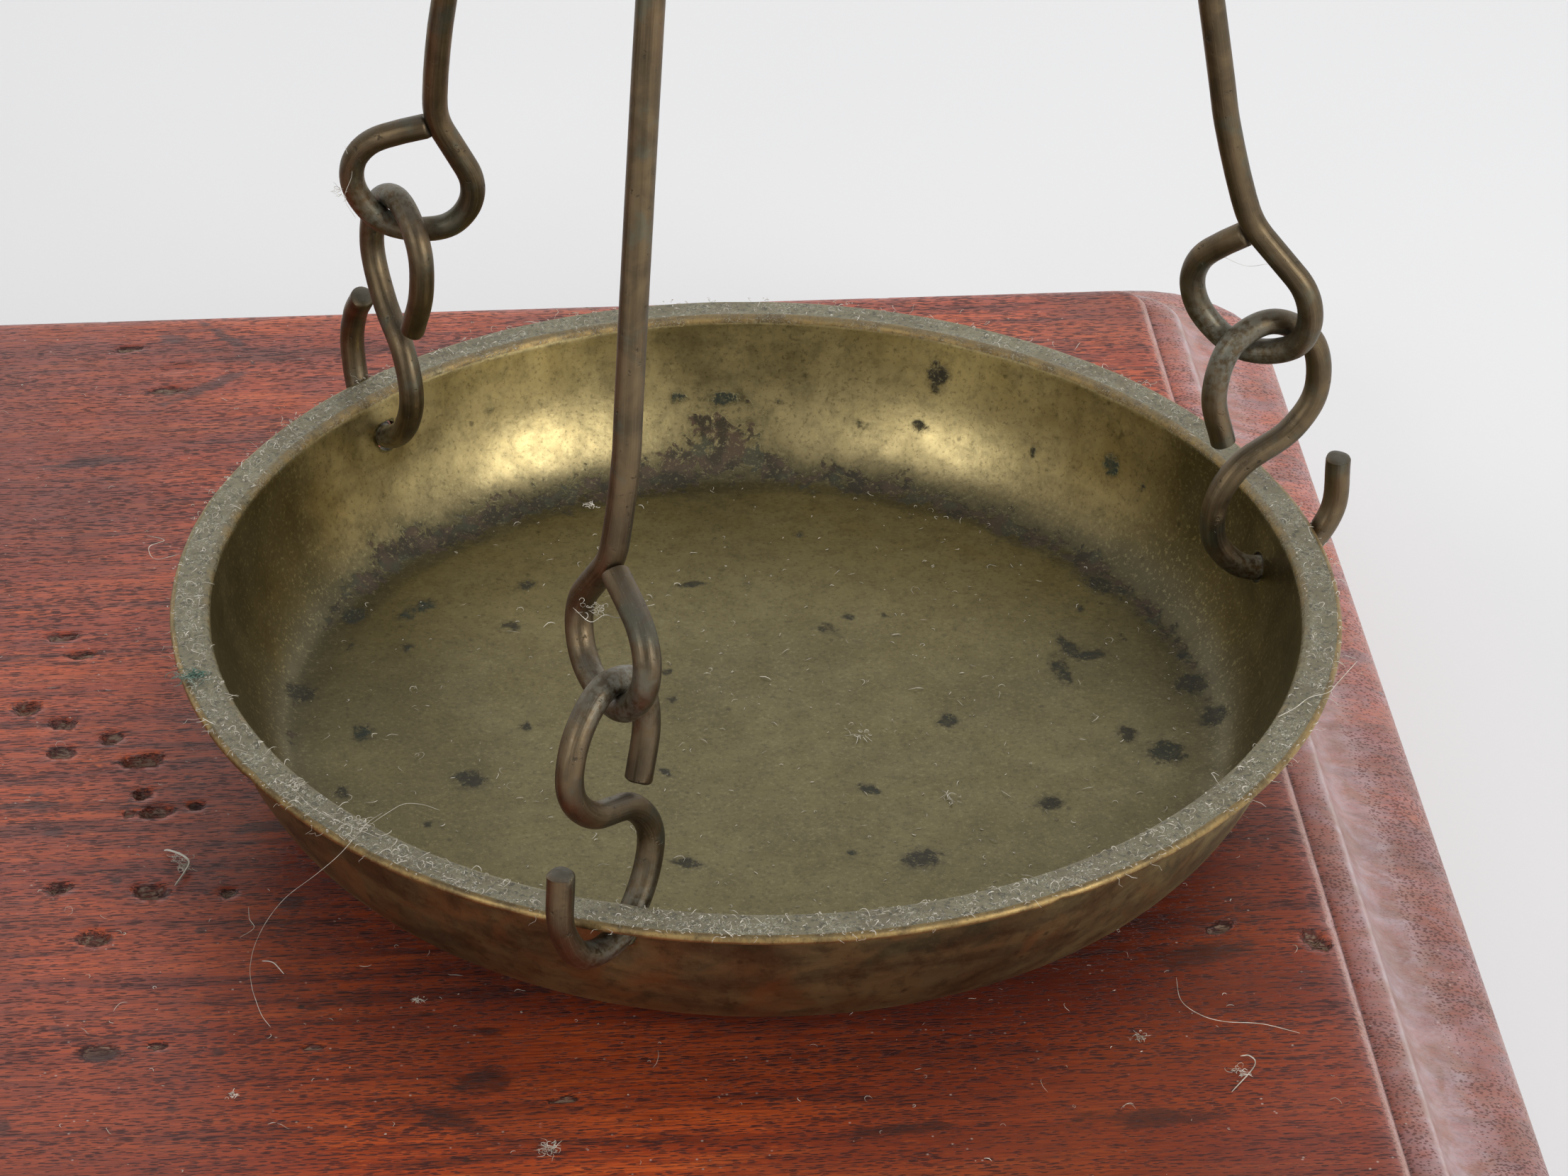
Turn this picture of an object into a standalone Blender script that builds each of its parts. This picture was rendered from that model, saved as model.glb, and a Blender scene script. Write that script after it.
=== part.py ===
"""Letter scale: a mahogany base, a brass column, a balance beam and two pans on wire hangers."""

import math

import bmesh
import bpy
from mathutils import Matrix, Vector

# All lengths below are in millimetres. X runs along the beam, Y to the back, Z up from the floor.
MM = 0.001
GAP = 0.3

# Base board
FOOT_HEIGHT = 10.0
FOOT_RADIUS = 11.0
FOOT_SPREAD = (150.0, 78.0)
BOARD_THICKNESS = 20.0
BOARD_TOP_HALF = (166.0, 90.0)
BOARD_CORNER_RADIUS = 3.0
BOARD_CORNER_GROWTH = 0.7
BOARD_TOP = FOOT_HEIGHT + BOARD_THICKNESS
# Moulded edge, from the top arris: how far out, how far down
MOULDING = [(-1.2, 0.0), (-0.35, 0.3), (0.0, 1.1), (0.0, 2.4), (1.4, 2.6), (2.2, 4.2), (3.8, 6.3), (6.2, 7.8),
            (9.2, 8.4), (12.0, 9.4), (14.0, 11.2), (14.7, 13.6), (14.8, 15.2), (15.5, 15.5), (15.5, 19.4),
            (14.9, 20.0)]

# Pans
PAN_GAP = 4.0
PAN_DEPTH = 16.4
PAN_SHEET = 1.0
PAN_RIM_RADIUS = 55.0
PAN_WALL_TOP = 52.2
PAN_CORNER = 48.3
PAN_KNUCKLE = 7.0
PAN_SEGMENTS = 48
PAN_HOLE_RADIUS = 1.9
RIM_HEIGHT = BOARD_TOP + PAN_GAP + PAN_DEPTH

# Wire hangers, heights above the pan rim
WIRE = 2.4
LINK = WIRE + 0.35
HOOK_LINK = WIRE + 0.75
WIRE_SIDES = 8
HOOK_FOOT_RADIUS = 50.2
HOOK_FOOT_HEIGHT = -3.1
HOOK_TILT = 4.5
HOOK_LOWER = {"centre": (1.4, 6.5), "radii": (7.1, 7.8), "sweep": (145, 377), "steps": 11}
HOOK_UPPER = {"centre": (0.0, 18.9), "radii": (5.9, 7.3), "sweep": (226, -35), "steps": 12}
# Each strand: place around the pan, the way its hook and eye face, and its place along the ring
STRANDS = [
    {"name": "outer", "azimuth": 9.3, "hook_turn": 25.0, "hook_lean": -1.5, "eye_turn": -44.0,
     "eye_side": 1, "seat": 0.0},
    {"name": "front", "azimuth": -108.2, "hook_turn": -130.0, "hook_lean": -6.0, "eye_turn": -54.0,
     "eye_side": -1, "seat": -3.4},
    {"name": "back", "azimuth": 132.9, "hook_turn": 114.0, "hook_lean": -3.5, "eye_turn": 9.0,
     "eye_side": 1, "seat": 3.4},
]
# Teardrop eye at a rod's end: sideways and towards the rod, from the end of the eye
EYE = [(-2.1, 13.3), (-4.6, 11.5), (-5.9, 7.8), (-5.5, 3.8), (-3.1, 0.8), (0.3, 0.0), (3.7, 1.0), (5.8, 4.1),
       (5.6, 8.0), (3.5, 11.8), (1.4, 14.8), (0.4, 17.6)]
EYE_LENGTH = 22.0
RING_RADIUS = 7.5
RING_BOTTOM = 250.0
HANGER_HOOK_DROP = 15.85
STIRRUP_BAR_DROP = 18.0
STIRRUP_WIRE = 3.0
STIRRUP_HALF = 8.0
STIRRUP_TOP = 4.5
STIRRUP_CORNER = 4.0

# Beam
ARM = 115.0
REST_TILT = math.radians(5.0)
BEAM_THICKNESS = 3.2
KNIFE_HALF_WIDTH = 1.8
KNIFE_SHOULDER = 2.0
KNIFE_BASE = 4.2
END_KNIFE_HALF_LENGTH = 5.6
CENTRE_KNIFE_HALF_LENGTH = 9.2
TONGUE_LENGTH = 34.0
TONGUE_THICKNESS = 1.2
TONGUE_SCREW_HEIGHT = 8.6
TONGUE_SCREW_RADIUS = 1.1

# Heights worked out from the hanger's links
RING_CENTRE = RIM_HEIGHT + RING_BOTTOM + RING_RADIUS
RING_HINGE = RING_CENTRE + RING_RADIUS - LINK
HOOK_HINGE = RING_HINGE + HANGER_HOOK_DROP
RIGHT_KNIFE = HOOK_HINGE + STIRRUP_BAR_DROP
PIVOT = RIGHT_KNIFE + ARM * math.sin(REST_TILT)
PAN_X = ARM * math.cos(REST_TILT)
LEFT_RISE = 2.0 * ARM * math.sin(REST_TILT)

# Fork and column
FORK_HALF_DEPTH = 9.5
FORK_INNER = 6.0
FORK_TENON = 3.6
FORK_TENON_HALF_WIDTH = 3.2
FORK_HALF_WIDTH = 6.5
FORK_TIP_HALF_WIDTH = 2.2
BEARING_OUTER = 4.0
BEARING_INNER = 2.9
COLUMN_TENON = 5.0
FLANGE_SCREW_CIRCLE = 19.5
FLANGE_SCREW_RADIUS = 1.6
FLANGE_PLATE = 3.4
FLANGE_HEIGHT = 13.6
TENON_HOLE_DEPTH = 12.0
SCREW_HOLE_DEPTH = 9.0
SHAFT_TOP_BELOW_PIVOT = 34.0
CAPITAL_HEIGHT = 13.0
TURNED_SEGMENTS = 24

BRASS_COLOUR = (0.42, 0.30, 0.12)
DARK_BRASS_COLOUR = (0.16, 0.11, 0.06)
STEEL_COLOUR = (0.42, 0.42, 0.43)
WOOD_COLOUR = (0.22, 0.055, 0.03)


def clear_scene():
    """Start from an empty scene."""
    for old in list(bpy.data.objects):
        bpy.data.objects.remove(old, do_unlink=True)


def make_material(name, colour, roughness, metallic):
    """One Principled material."""
    mat = bpy.data.materials.new(name)
    mat.use_nodes = True
    shader = mat.node_tree.nodes["Principled BSDF"]
    shader.inputs["Base Color"].default_value = (*colour, 1.0)
    shader.inputs["Roughness"].default_value = roughness
    shader.inputs["Metallic"].default_value = metallic
    return mat


def add_piece(name, verts, faces, finish, origin=(0.0, 0.0, 0.0), crease=35.0):
    """Make one closed solid from points in millimetres, with its origin on its own axis."""
    mesh = bpy.data.meshes.new(name)
    base = Vector(origin)
    mesh.from_pydata([(Vector(v) - base) * MM for v in verts], [], faces)
    work = bmesh.new()
    work.from_mesh(mesh)
    bmesh.ops.recalc_face_normals(work, faces=work.faces)
    work.to_mesh(mesh)
    work.free()
    for face in mesh.polygons:
        face.use_smooth = True
    mesh.set_sharp_from_angle(angle=math.radians(crease))
    colour, roughness, metallic = finish
    mesh.materials.append(make_material(name + "_finish", colour, roughness, metallic))
    piece = bpy.data.objects.new(name, mesh)
    piece.location = base * MM
    bpy.context.scene.collection.objects.link(piece)
    return piece


BRASS = (BRASS_COLOUR, 0.35, 1.0)
DARK_BRASS = (DARK_BRASS_COLOUR, 0.45, 1.0)
STEEL = (STEEL_COLOUR, 0.3, 1.0)
WOOD = (WOOD_COLOUR, 0.45, 0.0)


def lathe(profile, segments, centre=(0.0, 0.0), ring=False):
    """Turn a profile of (radius, height) round a vertical axis; a ring profile is a closed loop."""
    verts = []
    rows = []
    for radius, height in profile:
        if radius < 1e-6:
            rows.append([len(verts)])
            verts.append((centre[0], centre[1], height))
            continue
        start = len(verts)
        for step in range(segments):
            angle = 2.0 * math.pi * step / segments
            verts.append((centre[0] + radius * math.cos(angle), centre[1] + radius * math.sin(angle), height))
        rows.append(list(range(start, start + segments)))
    faces = []
    pairs = list(zip(rows, rows[1:]))
    if ring:
        pairs.append((rows[-1], rows[0]))
    for upper, lower in pairs:
        for step in range(segments):
            nxt = (step + 1) % segments
            corners = [row[index % len(row)] for row, index in ((upper, step), (upper, nxt), (lower, nxt), (lower, step))]
            face = list(dict.fromkeys(corners))
            if len(face) > 2:
                faces.append(face)
    return verts, faces


def smooth_path(points, steps=3):
    """A smooth curve through the given points."""
    pts = [Vector(p) for p in points]
    pts = [2 * pts[0] - pts[1]] + pts + [2 * pts[-1] - pts[-2]]
    out = []
    for i in range(1, len(pts) - 2):
        a, b, c, d = pts[i - 1:i + 3]
        for k in range(steps):
            t = k / steps
            bend = (2 * a - 5 * b + 4 * c - d) * t ** 2 + (3 * b - 3 * c + d - a) * t ** 3
            out.append(0.5 * (2 * b + (c - a) * t + bend))
    out.append(pts[-2])
    return out


def tube(path, radius, sides=WIRE_SIDES, closed=False):
    """Round wire along a path, its section carried along without twist."""
    count = len(path)
    if closed:
        tangents = [(path[(i + 1) % count] - path[i - 1]).normalized() for i in range(count)]
    else:
        tangents = [(path[min(i + 1, count - 1)] - path[max(i - 1, 0)]).normalized() for i in range(count)]
    seed = Vector((0.31, 0.87, 0.39))
    normal = (seed - tangents[0] * seed.dot(tangents[0])).normalized()
    verts = []
    for point, tangent in zip(path, tangents):
        normal = (normal - tangent * normal.dot(tangent)).normalized()
        across = tangent.cross(normal)
        for side in range(sides):
            angle = 2.0 * math.pi * side / sides
            verts.append(point + radius * (math.cos(angle) * normal + math.sin(angle) * across))
    faces = []
    for i in range(count if closed else count - 1):
        j = (i + 1) % count
        for side in range(sides):
            nxt = (side + 1) % sides
            faces.append((i * sides + side, i * sides + nxt, j * sides + nxt, j * sides + side))
    if not closed:
        faces.append(tuple(range(sides)))
        faces.append(tuple((count - 1) * sides + side for side in range(sides)))
    return verts, faces


def extrude(outline, start, end, place):
    """Extrude a flat outline; place(u, v, depth) gives each corner's position."""
    count = len(outline)
    verts = [place(u, v, start) for u, v in outline] + [place(u, v, end) for u, v in outline]
    faces = [tuple(range(count)), tuple(range(count, 2 * count))]
    faces += [(i, (i + 1) % count, (i + 1) % count + count, i + count) for i in range(count)]
    return verts, faces


def arc(centre, radii, sweep, steps):
    """Points along an elliptical arc, in degrees."""
    out = []
    for step in range(steps):
        angle = math.radians(sweep[0] + (sweep[1] - sweep[0]) * step / (steps - 1))
        out.append((centre[0] + radii[0] * math.cos(angle), centre[1] + radii[1] * math.sin(angle)))
    return out


def cut(piece, cutters):
    """Cut helper solids out of a piece and discard them."""
    for cutter in cutters:
        cutter.hide_render = True
        cutter.display_type = "WIRE"
        step = piece.modifiers.new("cut", "BOOLEAN")
        step.object = cutter
        step.operation = "DIFFERENCE"
        step.solver = "EXACT"
    bpy.context.view_layer.update()
    graph = bpy.context.evaluated_depsgraph_get()
    result = bpy.data.meshes.new_from_object(piece.evaluated_get(graph))
    piece.modifiers.clear()
    piece.data = result
    for cutter in cutters:
        bpy.data.objects.remove(cutter, do_unlink=True)


def cylinder(name, start, end, radius, segments=16):
    """A plain cylinder used as a cutter or a pin."""
    first, last = Vector(start), Vector(end)
    verts, faces = tube([first, last], radius, segments)
    return add_piece(name, verts, faces, STEEL)


# ---------------------------------------------------------------- base

def rounded_rectangle(half_x, half_y, radius, steps=5):
    """Corner points of a rectangle with rounded corners."""
    out = []
    for sx, sy, start in ((1, 1, 0), (-1, 1, 90), (-1, -1, 180), (1, -1, 270)):
        centre = (sx * (half_x - radius), sy * (half_y - radius))
        out += arc(centre, (radius, radius), (start, start + 90), steps)
    return out


def build_base():
    """Board with its moulded edge worked in the solid, drilled for the column and its screws."""
    verts = []
    loops = []
    for outset, drop in MOULDING:
        radius = BOARD_CORNER_RADIUS + BOARD_CORNER_GROWTH * max(outset, 0.0)
        loop = rounded_rectangle(BOARD_TOP_HALF[0] + outset, BOARD_TOP_HALF[1] + outset, radius)
        loops.append(range(len(verts), len(verts) + len(loop)))
        verts += [(x, y, BOARD_TOP - drop) for x, y in loop]
    faces = [tuple(loops[0]), tuple(loops[-1])]
    for upper, lower in zip(loops, loops[1:]):
        count = len(upper)
        for i in range(count):
            j = (i + 1) % count
            faces.append((upper[i], upper[j], lower[j], lower[i]))
    board = add_piece("base_board", verts, faces, WOOD)
    above = BOARD_TOP + 5.0
    holes = [cylinder("hole", (0, 0, BOARD_TOP - TENON_HOLE_DEPTH), (0, 0, above), COLUMN_TENON + GAP, 20)]
    for x, y in flange_screw_places():
        low = BOARD_TOP - SCREW_HOLE_DEPTH
        holes.append(cylinder("hole", (x, y, low), (x, y, above), FLANGE_SCREW_RADIUS + GAP, 10))
    cut(board, holes)


def build_feet():
    """Four turned bun feet."""
    top = FOOT_HEIGHT - GAP
    profile = [(0.0, top), (8.6, top), (10.0, top - 0.9), (FOOT_RADIUS, top - 3.4), (10.5, top - 6.4), (8.6, 0.9),
               (7.6, 0.0), (0.0, 0.0)]
    for side_x, name_x in ((-1, "left"), (1, "right")):
        for side_y, name_y in ((-1, "front"), (1, "back")):
            centre = (side_x * FOOT_SPREAD[0], side_y * FOOT_SPREAD[1])
            verts, faces = lathe(profile, 20, centre)
            add_piece(f"foot_{name_y}_{name_x}", verts, faces, WOOD)


# ---------------------------------------------------------------- column

def flange_screw_places():
    """Three screws evenly round the column's foot."""
    return [(FLANGE_SCREW_CIRCLE * math.cos(a), FLANGE_SCREW_CIRCLE * math.sin(a))
            for a in (math.radians(90 + 120 * k) for k in range(3))]


def build_column_foot():
    """Turned flange, bored for the column and drilled for its screws."""
    low = BOARD_TOP + GAP
    bore = COLUMN_TENON + GAP
    profile = [(bore, low), (25.0, low), (25.6, low + 0.8), (25.4, low + 2.2), (23.6, low + 3.0),
               (16.5, low + FLANGE_PLATE), (14.6, low + 4.2), (12.6, low + 7.2), (11.2, low + 11.2), (11.6, low + 12.4),
               (11.0, low + FLANGE_HEIGHT), (bore, low + FLANGE_HEIGHT)]
    verts, faces = lathe(profile, TURNED_SEGMENTS, ring=True)
    flange = add_piece("column_foot", verts, faces, BRASS)
    cut(flange, [cylinder("hole", (x, y, low - 2), (x, y, low + 9), FLANGE_SCREW_RADIUS + GAP, 12)
                 for x, y in flange_screw_places()])
    head_low = low + FLANGE_PLATE + GAP
    tip = BOARD_TOP - SCREW_HOLE_DEPTH + 0.6
    for index, (x, y) in enumerate(flange_screw_places(), start=1):
        profile = [(0.0, head_low + 1.9), (1.5, head_low + 1.7), (2.6, head_low + 1.0), (3.0, head_low),
                   (FLANGE_SCREW_RADIUS, head_low), (FLANGE_SCREW_RADIUS, tip + 1.4), (0.0, tip)]
        verts, faces = lathe(profile, 14, (x, y))
        screw = add_piece(f"column_foot_screw_{index}", verts, faces, STEEL)
        cut(screw, [add_box("slot", (x, y, head_low + 2.0), (3.6, 0.35, 0.9))])


def add_box(name, centre, half):
    """A plain block."""
    outline = [(-half[0], -half[1]), (half[0], -half[1]), (half[0], half[1]), (-half[0], half[1])]
    verts, faces = extrude(outline, centre[2] - half[2], centre[2] + half[2],
                           lambda u, v, depth: (centre[0] + u, centre[1] + v, depth))
    return add_piece(name, verts, faces, STEEL)


def build_column():
    """Shaft with turned mouldings, and the capital that carries the fork."""
    shoulder = BOARD_TOP + FLANGE_HEIGHT + 2 * GAP
    top = PIVOT - SHAFT_TOP_BELOW_PIVOT
    foot = BOARD_TOP - TENON_HOLE_DEPTH + 1.0
    spigot = COLUMN_TENON - 1.0
    profile = [(0.0, foot), (COLUMN_TENON, foot), (COLUMN_TENON, shoulder), (10.2, shoulder), (10.4, shoulder + 2.0),
               (8.0, shoulder + 4.0), (9.4, shoulder + 6.2), (7.6, shoulder + 8.6), (7.2, shoulder + 14.0),
               (6.6, shoulder + 120.0), (5.6, top - 16.0), (5.4, top - 11.0), (6.8, top - 9.4), (6.8, top - 8.0),
               (5.6, top - 6.6), (5.6, top - 2.0), (6.6, top - 1.0), (6.6, top), (spigot, top), (spigot, top + 7.0),
               (0.0, top + 7.0)]
    verts, faces = lathe(profile, TURNED_SEGMENTS)
    add_piece("column_shaft", verts, faces, BRASS)

    low = top + GAP
    bore = spigot + GAP
    high = low + CAPITAL_HEIGHT
    socket = FORK_TENON + 1.6
    profile = [(bore, low), (7.2, low), (8.8, low + 1.4), (9.6, low + 3.6), (8.6, low + 5.8), (7.8, low + 7.0),
               (9.6, low + 9.0), (10.8, low + 10.4), (10.8, high - 0.6), (10.2, high), (socket, high),
               (socket, low + 8.0), (bore, low + 8.0)]
    verts, faces = lathe(profile, TURNED_SEGMENTS, ring=True)
    add_piece("column_capital", verts, faces, BRASS)
    return high


def fork_half_width(height):
    """How far the fork reaches along the beam at a height above the pivot: wide at the bearings, slim at the ends."""
    if height < -18.0:
        return FORK_TENON_HALF_WIDTH
    if height < -6.0:
        return 4.6 + 1.9 * max(0.0, 1.0 - (-6.0 - height) / 10.0)
    if height < 8.0:
        return FORK_HALF_WIDTH
    blend = min(1.0, (height - 8.0) / 16.0)
    return FORK_HALF_WIDTH + (FORK_TIP_HALF_WIDTH - FORK_HALF_WIDTH) * blend * blend * (3.0 - 2.0 * blend)


def build_fork(seat):
    """Upright loop that the beam passes through, drilled for its two bearings."""
    crotch = -16.0
    top = TONGUE_LENGTH + 4.0
    outer = [(0.0, seat - 4.6), (FORK_TENON, seat - 4.6), (FORK_TENON, seat + GAP), (6.2, seat + GAP), (8.4, seat + 2.6)]
    outer += [(FORK_HALF_DEPTH, PIVOT + z) for z in (-14.0, -10.0, -6.0, 0.0, 8.0, 12.0, 16.0, 20.0, 24.0, top - 8.0)]
    outer += arc((0.0, PIVOT + top - 5.0), (FORK_HALF_DEPTH, FORK_HALF_DEPTH), (18, 90), 6)
    inner = arc((0.0, PIVOT + crotch + FORK_INNER), (FORK_INNER, FORK_INNER), (-90, -12), 5)
    inner += [(FORK_INNER, PIVOT + z) for z in (-6.0, 0.0, 8.0, 12.0, 16.0, 20.0, 24.0, top - 8.0)]
    inner += arc((0.0, PIVOT + top - 5.0), (FORK_INNER, FORK_INNER), (12, 90), 6)
    half = [(y, z) for y, z in outer] + [(y, z) for y, z in reversed(inner)]
    verts = []
    faces = []
    columns = {}

    def corner(y, z, side):
        key = (round(y, 4), round(z, 4), side)
        if key not in columns:
            columns[key] = len(verts)
            verts.append((side * fork_half_width(z - PIVOT), y, z))
        return columns[key]

    for mirror in (1, -1):
        loop = [(mirror * y, z) for y, z in half]
        for side in (1, -1):
            faces.append([corner(y, z, side) for y, z in loop])
        for (y0, z0), (y1, z1) in zip(loop, loop[1:]):
            if abs(y0) + abs(y1) < 1e-6:
                continue
            faces.append([corner(y0, z0, 1), corner(y1, z1, 1), corner(y1, z1, -1), corner(y0, z0, -1)])
    fork = add_piece("bearing_fork", verts, faces, BRASS)
    centre = PIVOT - GAP + BEARING_INNER
    cut(fork, [cylinder("hole", (0, -20, centre), (0, 20, centre), BEARING_OUTER + GAP, 20)])
    for side, name in ((-1, "front"), (1, "back")):
        near, far = side * (FORK_INNER + 0.1), side * (FORK_HALF_DEPTH - 0.1)
        profile = [(BEARING_INNER, near), (BEARING_OUTER, near), (BEARING_OUTER, far), (BEARING_INNER, far)]
        turned, faces = lathe(profile, 20, ring=True)
        verts = [(x, z, centre + y) for x, y, z in turned]
        add_piece(f"bearing_{name}", verts, faces, STEEL)

    base = PIVOT + top - 5.0 + FORK_HALF_DEPTH + GAP
    profile = [(0.0, base), (3.4, base), (3.6, base + 1.0), (2.0, base + 2.6), (2.4, base + 3.6), (4.2, base + 6.4),
               (4.4, base + 8.6), (3.0, base + 11.4), (1.2, base + 13.4), (0.0, base + 14.4)]
    verts, faces = lathe(profile, 18)
    add_piece("fork_finial", verts, faces, BRASS)


# ---------------------------------------------------------------- beam

def on_beam(u, v, depth):
    """A place on the tilted beam: along it, above its knife line, and from front to back."""
    x = u * math.cos(REST_TILT) + v * math.sin(REST_TILT)
    z = -u * math.sin(REST_TILT) + v * math.cos(REST_TILT)
    return (x, depth, PIVOT + z)


def knife_outline(point_up):
    """Five-sided knife section with its edge on the knife line."""
    sign = 1.0 if point_up else -1.0
    return [(0.0, 0.0), (KNIFE_HALF_WIDTH, -sign * KNIFE_SHOULDER), (KNIFE_HALF_WIDTH, -sign * KNIFE_BASE),
            (-KNIFE_HALF_WIDTH, -sign * KNIFE_BASE), (-KNIFE_HALF_WIDTH, -sign * KNIFE_SHOULDER)]


def build_beam():
    """Flat tapered beam: slots at the ends and a window at the centre for the knives."""
    slot = KNIFE_HALF_WIDTH + GAP
    floor = -KNIFE_BASE - GAP
    side = [(0.0, 12.2), (4.0, 11.7), (8.0, 9.8), (12.0, 7.2), (20.0, 5.2), (40.0, 3.4), (70.0, 1.4), (100.0, -0.6),
            (ARM - 6.0, -1.2), (ARM - slot, -1.2), (ARM - slot, floor), (ARM + slot, floor), (ARM + slot, -1.2),
            (ARM + 4.2, -1.3), (ARM + 6.0, -2.6), (ARM + 6.4, -4.8), (ARM + 5.0, -7.4), (ARM + 2.0, -8.8),
            (ARM - 3.0, -8.8), (ARM - 8.0, -7.6), (90.0, -6.8), (60.0, -7.2), (30.0, -7.6), (16.0, -7.9), (6.0, -8.2)]
    outline = side + [(-u, v) for u, v in reversed(side) if u > 0.0]
    half = BEAM_THICKNESS / 2
    pivot = (0.0, 0.0, PIVOT)
    verts, faces = extrude(outline, -half, half, on_beam)
    beam = add_piece("beam", verts, faces, BRASS, pivot)
    window = [(0.0, -0.5), (slot, KNIFE_SHOULDER - 0.1), (slot, KNIFE_BASE + GAP), (-slot, KNIFE_BASE + GAP),
              (-slot, KNIFE_SHOULDER - 0.1)]
    verts, faces = extrude(window, -5.0, 5.0, on_beam)
    hole_start = on_beam(0.0, TONGUE_SCREW_HEIGHT, -5.0)
    hole_end = on_beam(0.0, TONGUE_SCREW_HEIGHT, 5.0)
    cut(beam, [add_piece("hole", verts, faces, STEEL),
               cylinder("hole", hole_start, hole_end, TONGUE_SCREW_RADIUS + GAP, 10)])

    verts, faces = extrude(knife_outline(False), -CENTRE_KNIFE_HALF_LENGTH, CENTRE_KNIFE_HALF_LENGTH, on_beam)
    add_piece("beam_knife_centre", verts, faces, STEEL, pivot)
    for side_x, name in ((-1, "left"), (1, "right")):
        outline = [(side_x * ARM + u, v) for u, v in knife_outline(True)]
        verts, faces = extrude(outline, -END_KNIFE_HALF_LENGTH, END_KNIFE_HALF_LENGTH, on_beam)
        add_piece(f"beam_knife_{name}", verts, faces, STEEL, pivot)


def build_tongue():
    """Slim pointer that stands between the fork's arms, with the screw that holds it to the beam."""
    pivot = (0.0, 0.0, PIVOT)
    back = -BEAM_THICKNESS / 2 - GAP
    outline = [(-2.6, 6.2), (2.6, 6.2), (3.0, 8.6), (2.3, 11.0), (1.5, 14.0), (1.1, 22.0), (0.5, TONGUE_LENGTH - 3.0),
               (0.0, TONGUE_LENGTH), (-0.5, TONGUE_LENGTH - 3.0), (-1.1, 22.0), (-1.5, 14.0), (-2.3, 11.0), (-3.0, 8.6)]
    verts, faces = extrude(outline, back - TONGUE_THICKNESS, back, on_beam)
    tongue = add_piece("tongue", verts, faces, BRASS, pivot)
    start = on_beam(0.0, TONGUE_SCREW_HEIGHT, -8.0)
    end = on_beam(0.0, TONGUE_SCREW_HEIGHT, 0.0)
    cut(tongue, [cylinder("hole", start, end, TONGUE_SCREW_RADIUS + GAP, 10)])
    face = back - TONGUE_THICKNESS - GAP
    profile = [(0.0, face - 1.2), (1.6, face - 0.9), (2.1, face), (TONGUE_SCREW_RADIUS, face),
               (TONGUE_SCREW_RADIUS, BEAM_THICKNESS / 2), (0.0, BEAM_THICKNESS / 2)]
    turned, faces = lathe(profile, 12)
    verts = [on_beam(x, TONGUE_SCREW_HEIGHT + y, z) for x, y, z in turned]
    add_piece("tongue_screw", verts, faces, STEEL, pivot)


# ---------------------------------------------------------------- hangers

def hanger_frame(side, rise):
    """Turn places measured from a pan's rim centre into world places; the left side is the mirror of the right."""
    def place(x, y, z):
        return Vector((side * (PAN_X + x), y, RIM_HEIGHT + rise + z))
    return place


def build_stirrup(side, name, rise):
    """Closed loop over the beam's end, with the flat plane that rests on the knife."""
    edge = RIGHT_KNIFE + rise
    x = side * PAN_X
    mid = (STIRRUP_TOP - STIRRUP_BAR_DROP) / 2
    loop = rounded_rectangle(STIRRUP_HALF, (STIRRUP_TOP + STIRRUP_BAR_DROP) / 2, STIRRUP_CORNER, 4)
    path = [Vector((x, y, edge + mid + z)) for y, z in loop]
    verts, faces = tube(path, STIRRUP_WIRE / 2, closed=True)
    add_piece(f"stirrup_{name}", verts, faces, BRASS, (x, 0.0, edge))
    low = edge + GAP
    high = edge + STIRRUP_TOP - STIRRUP_WIRE / 2 - GAP
    verts, faces = extrude([(-2.8, -4.6), (2.8, -4.6), (2.8, 4.6), (-2.8, 4.6)], low, high,
                           lambda u, v, depth: (x + u, v, depth))
    add_piece(f"stirrup_plane_{name}", verts, faces, STEEL, (x, 0.0, edge))


def build_hanger_hook(side, name, rise):
    """Hook whose eye hangs on the stirrup's bar."""
    bar = HOOK_HINGE + rise
    x = side * PAN_X
    eye_drop = 1.15
    eye = arc((0.0, -eye_drop), (4.2, 4.2), (-58, 236), 9)
    neck = [(-0.5, -6.9), (2.4, -8.5)]
    curl = arc((0.0, -HANGER_HOOK_DROP + 4.0), (4.0, 4.0), (10, -200), 8)
    path = smooth_path([(x + side * u, 0.0, bar + v) for u, v in eye + neck + curl], 1)
    verts, faces = tube(path, WIRE / 2)
    add_piece(f"hanger_hook_{name}", verts, faces, DARK_BRASS, (x, 0.0, bar))


def build_ring(side, name, rise):
    """Ring that carries the three rods."""
    x = side * PAN_X
    steps = 26
    path = [Vector((x, RING_RADIUS * math.cos(a), RING_CENTRE + rise + RING_RADIUS * math.sin(a)))
            for a in (2.0 * math.pi * k / steps for k in range(steps))]
    verts, faces = tube(path, WIRE / 2, closed=True)
    add_piece(f"hanger_ring_{name}", verts, faces, DARK_BRASS, (x, 0.0, RING_HINGE + rise))


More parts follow.
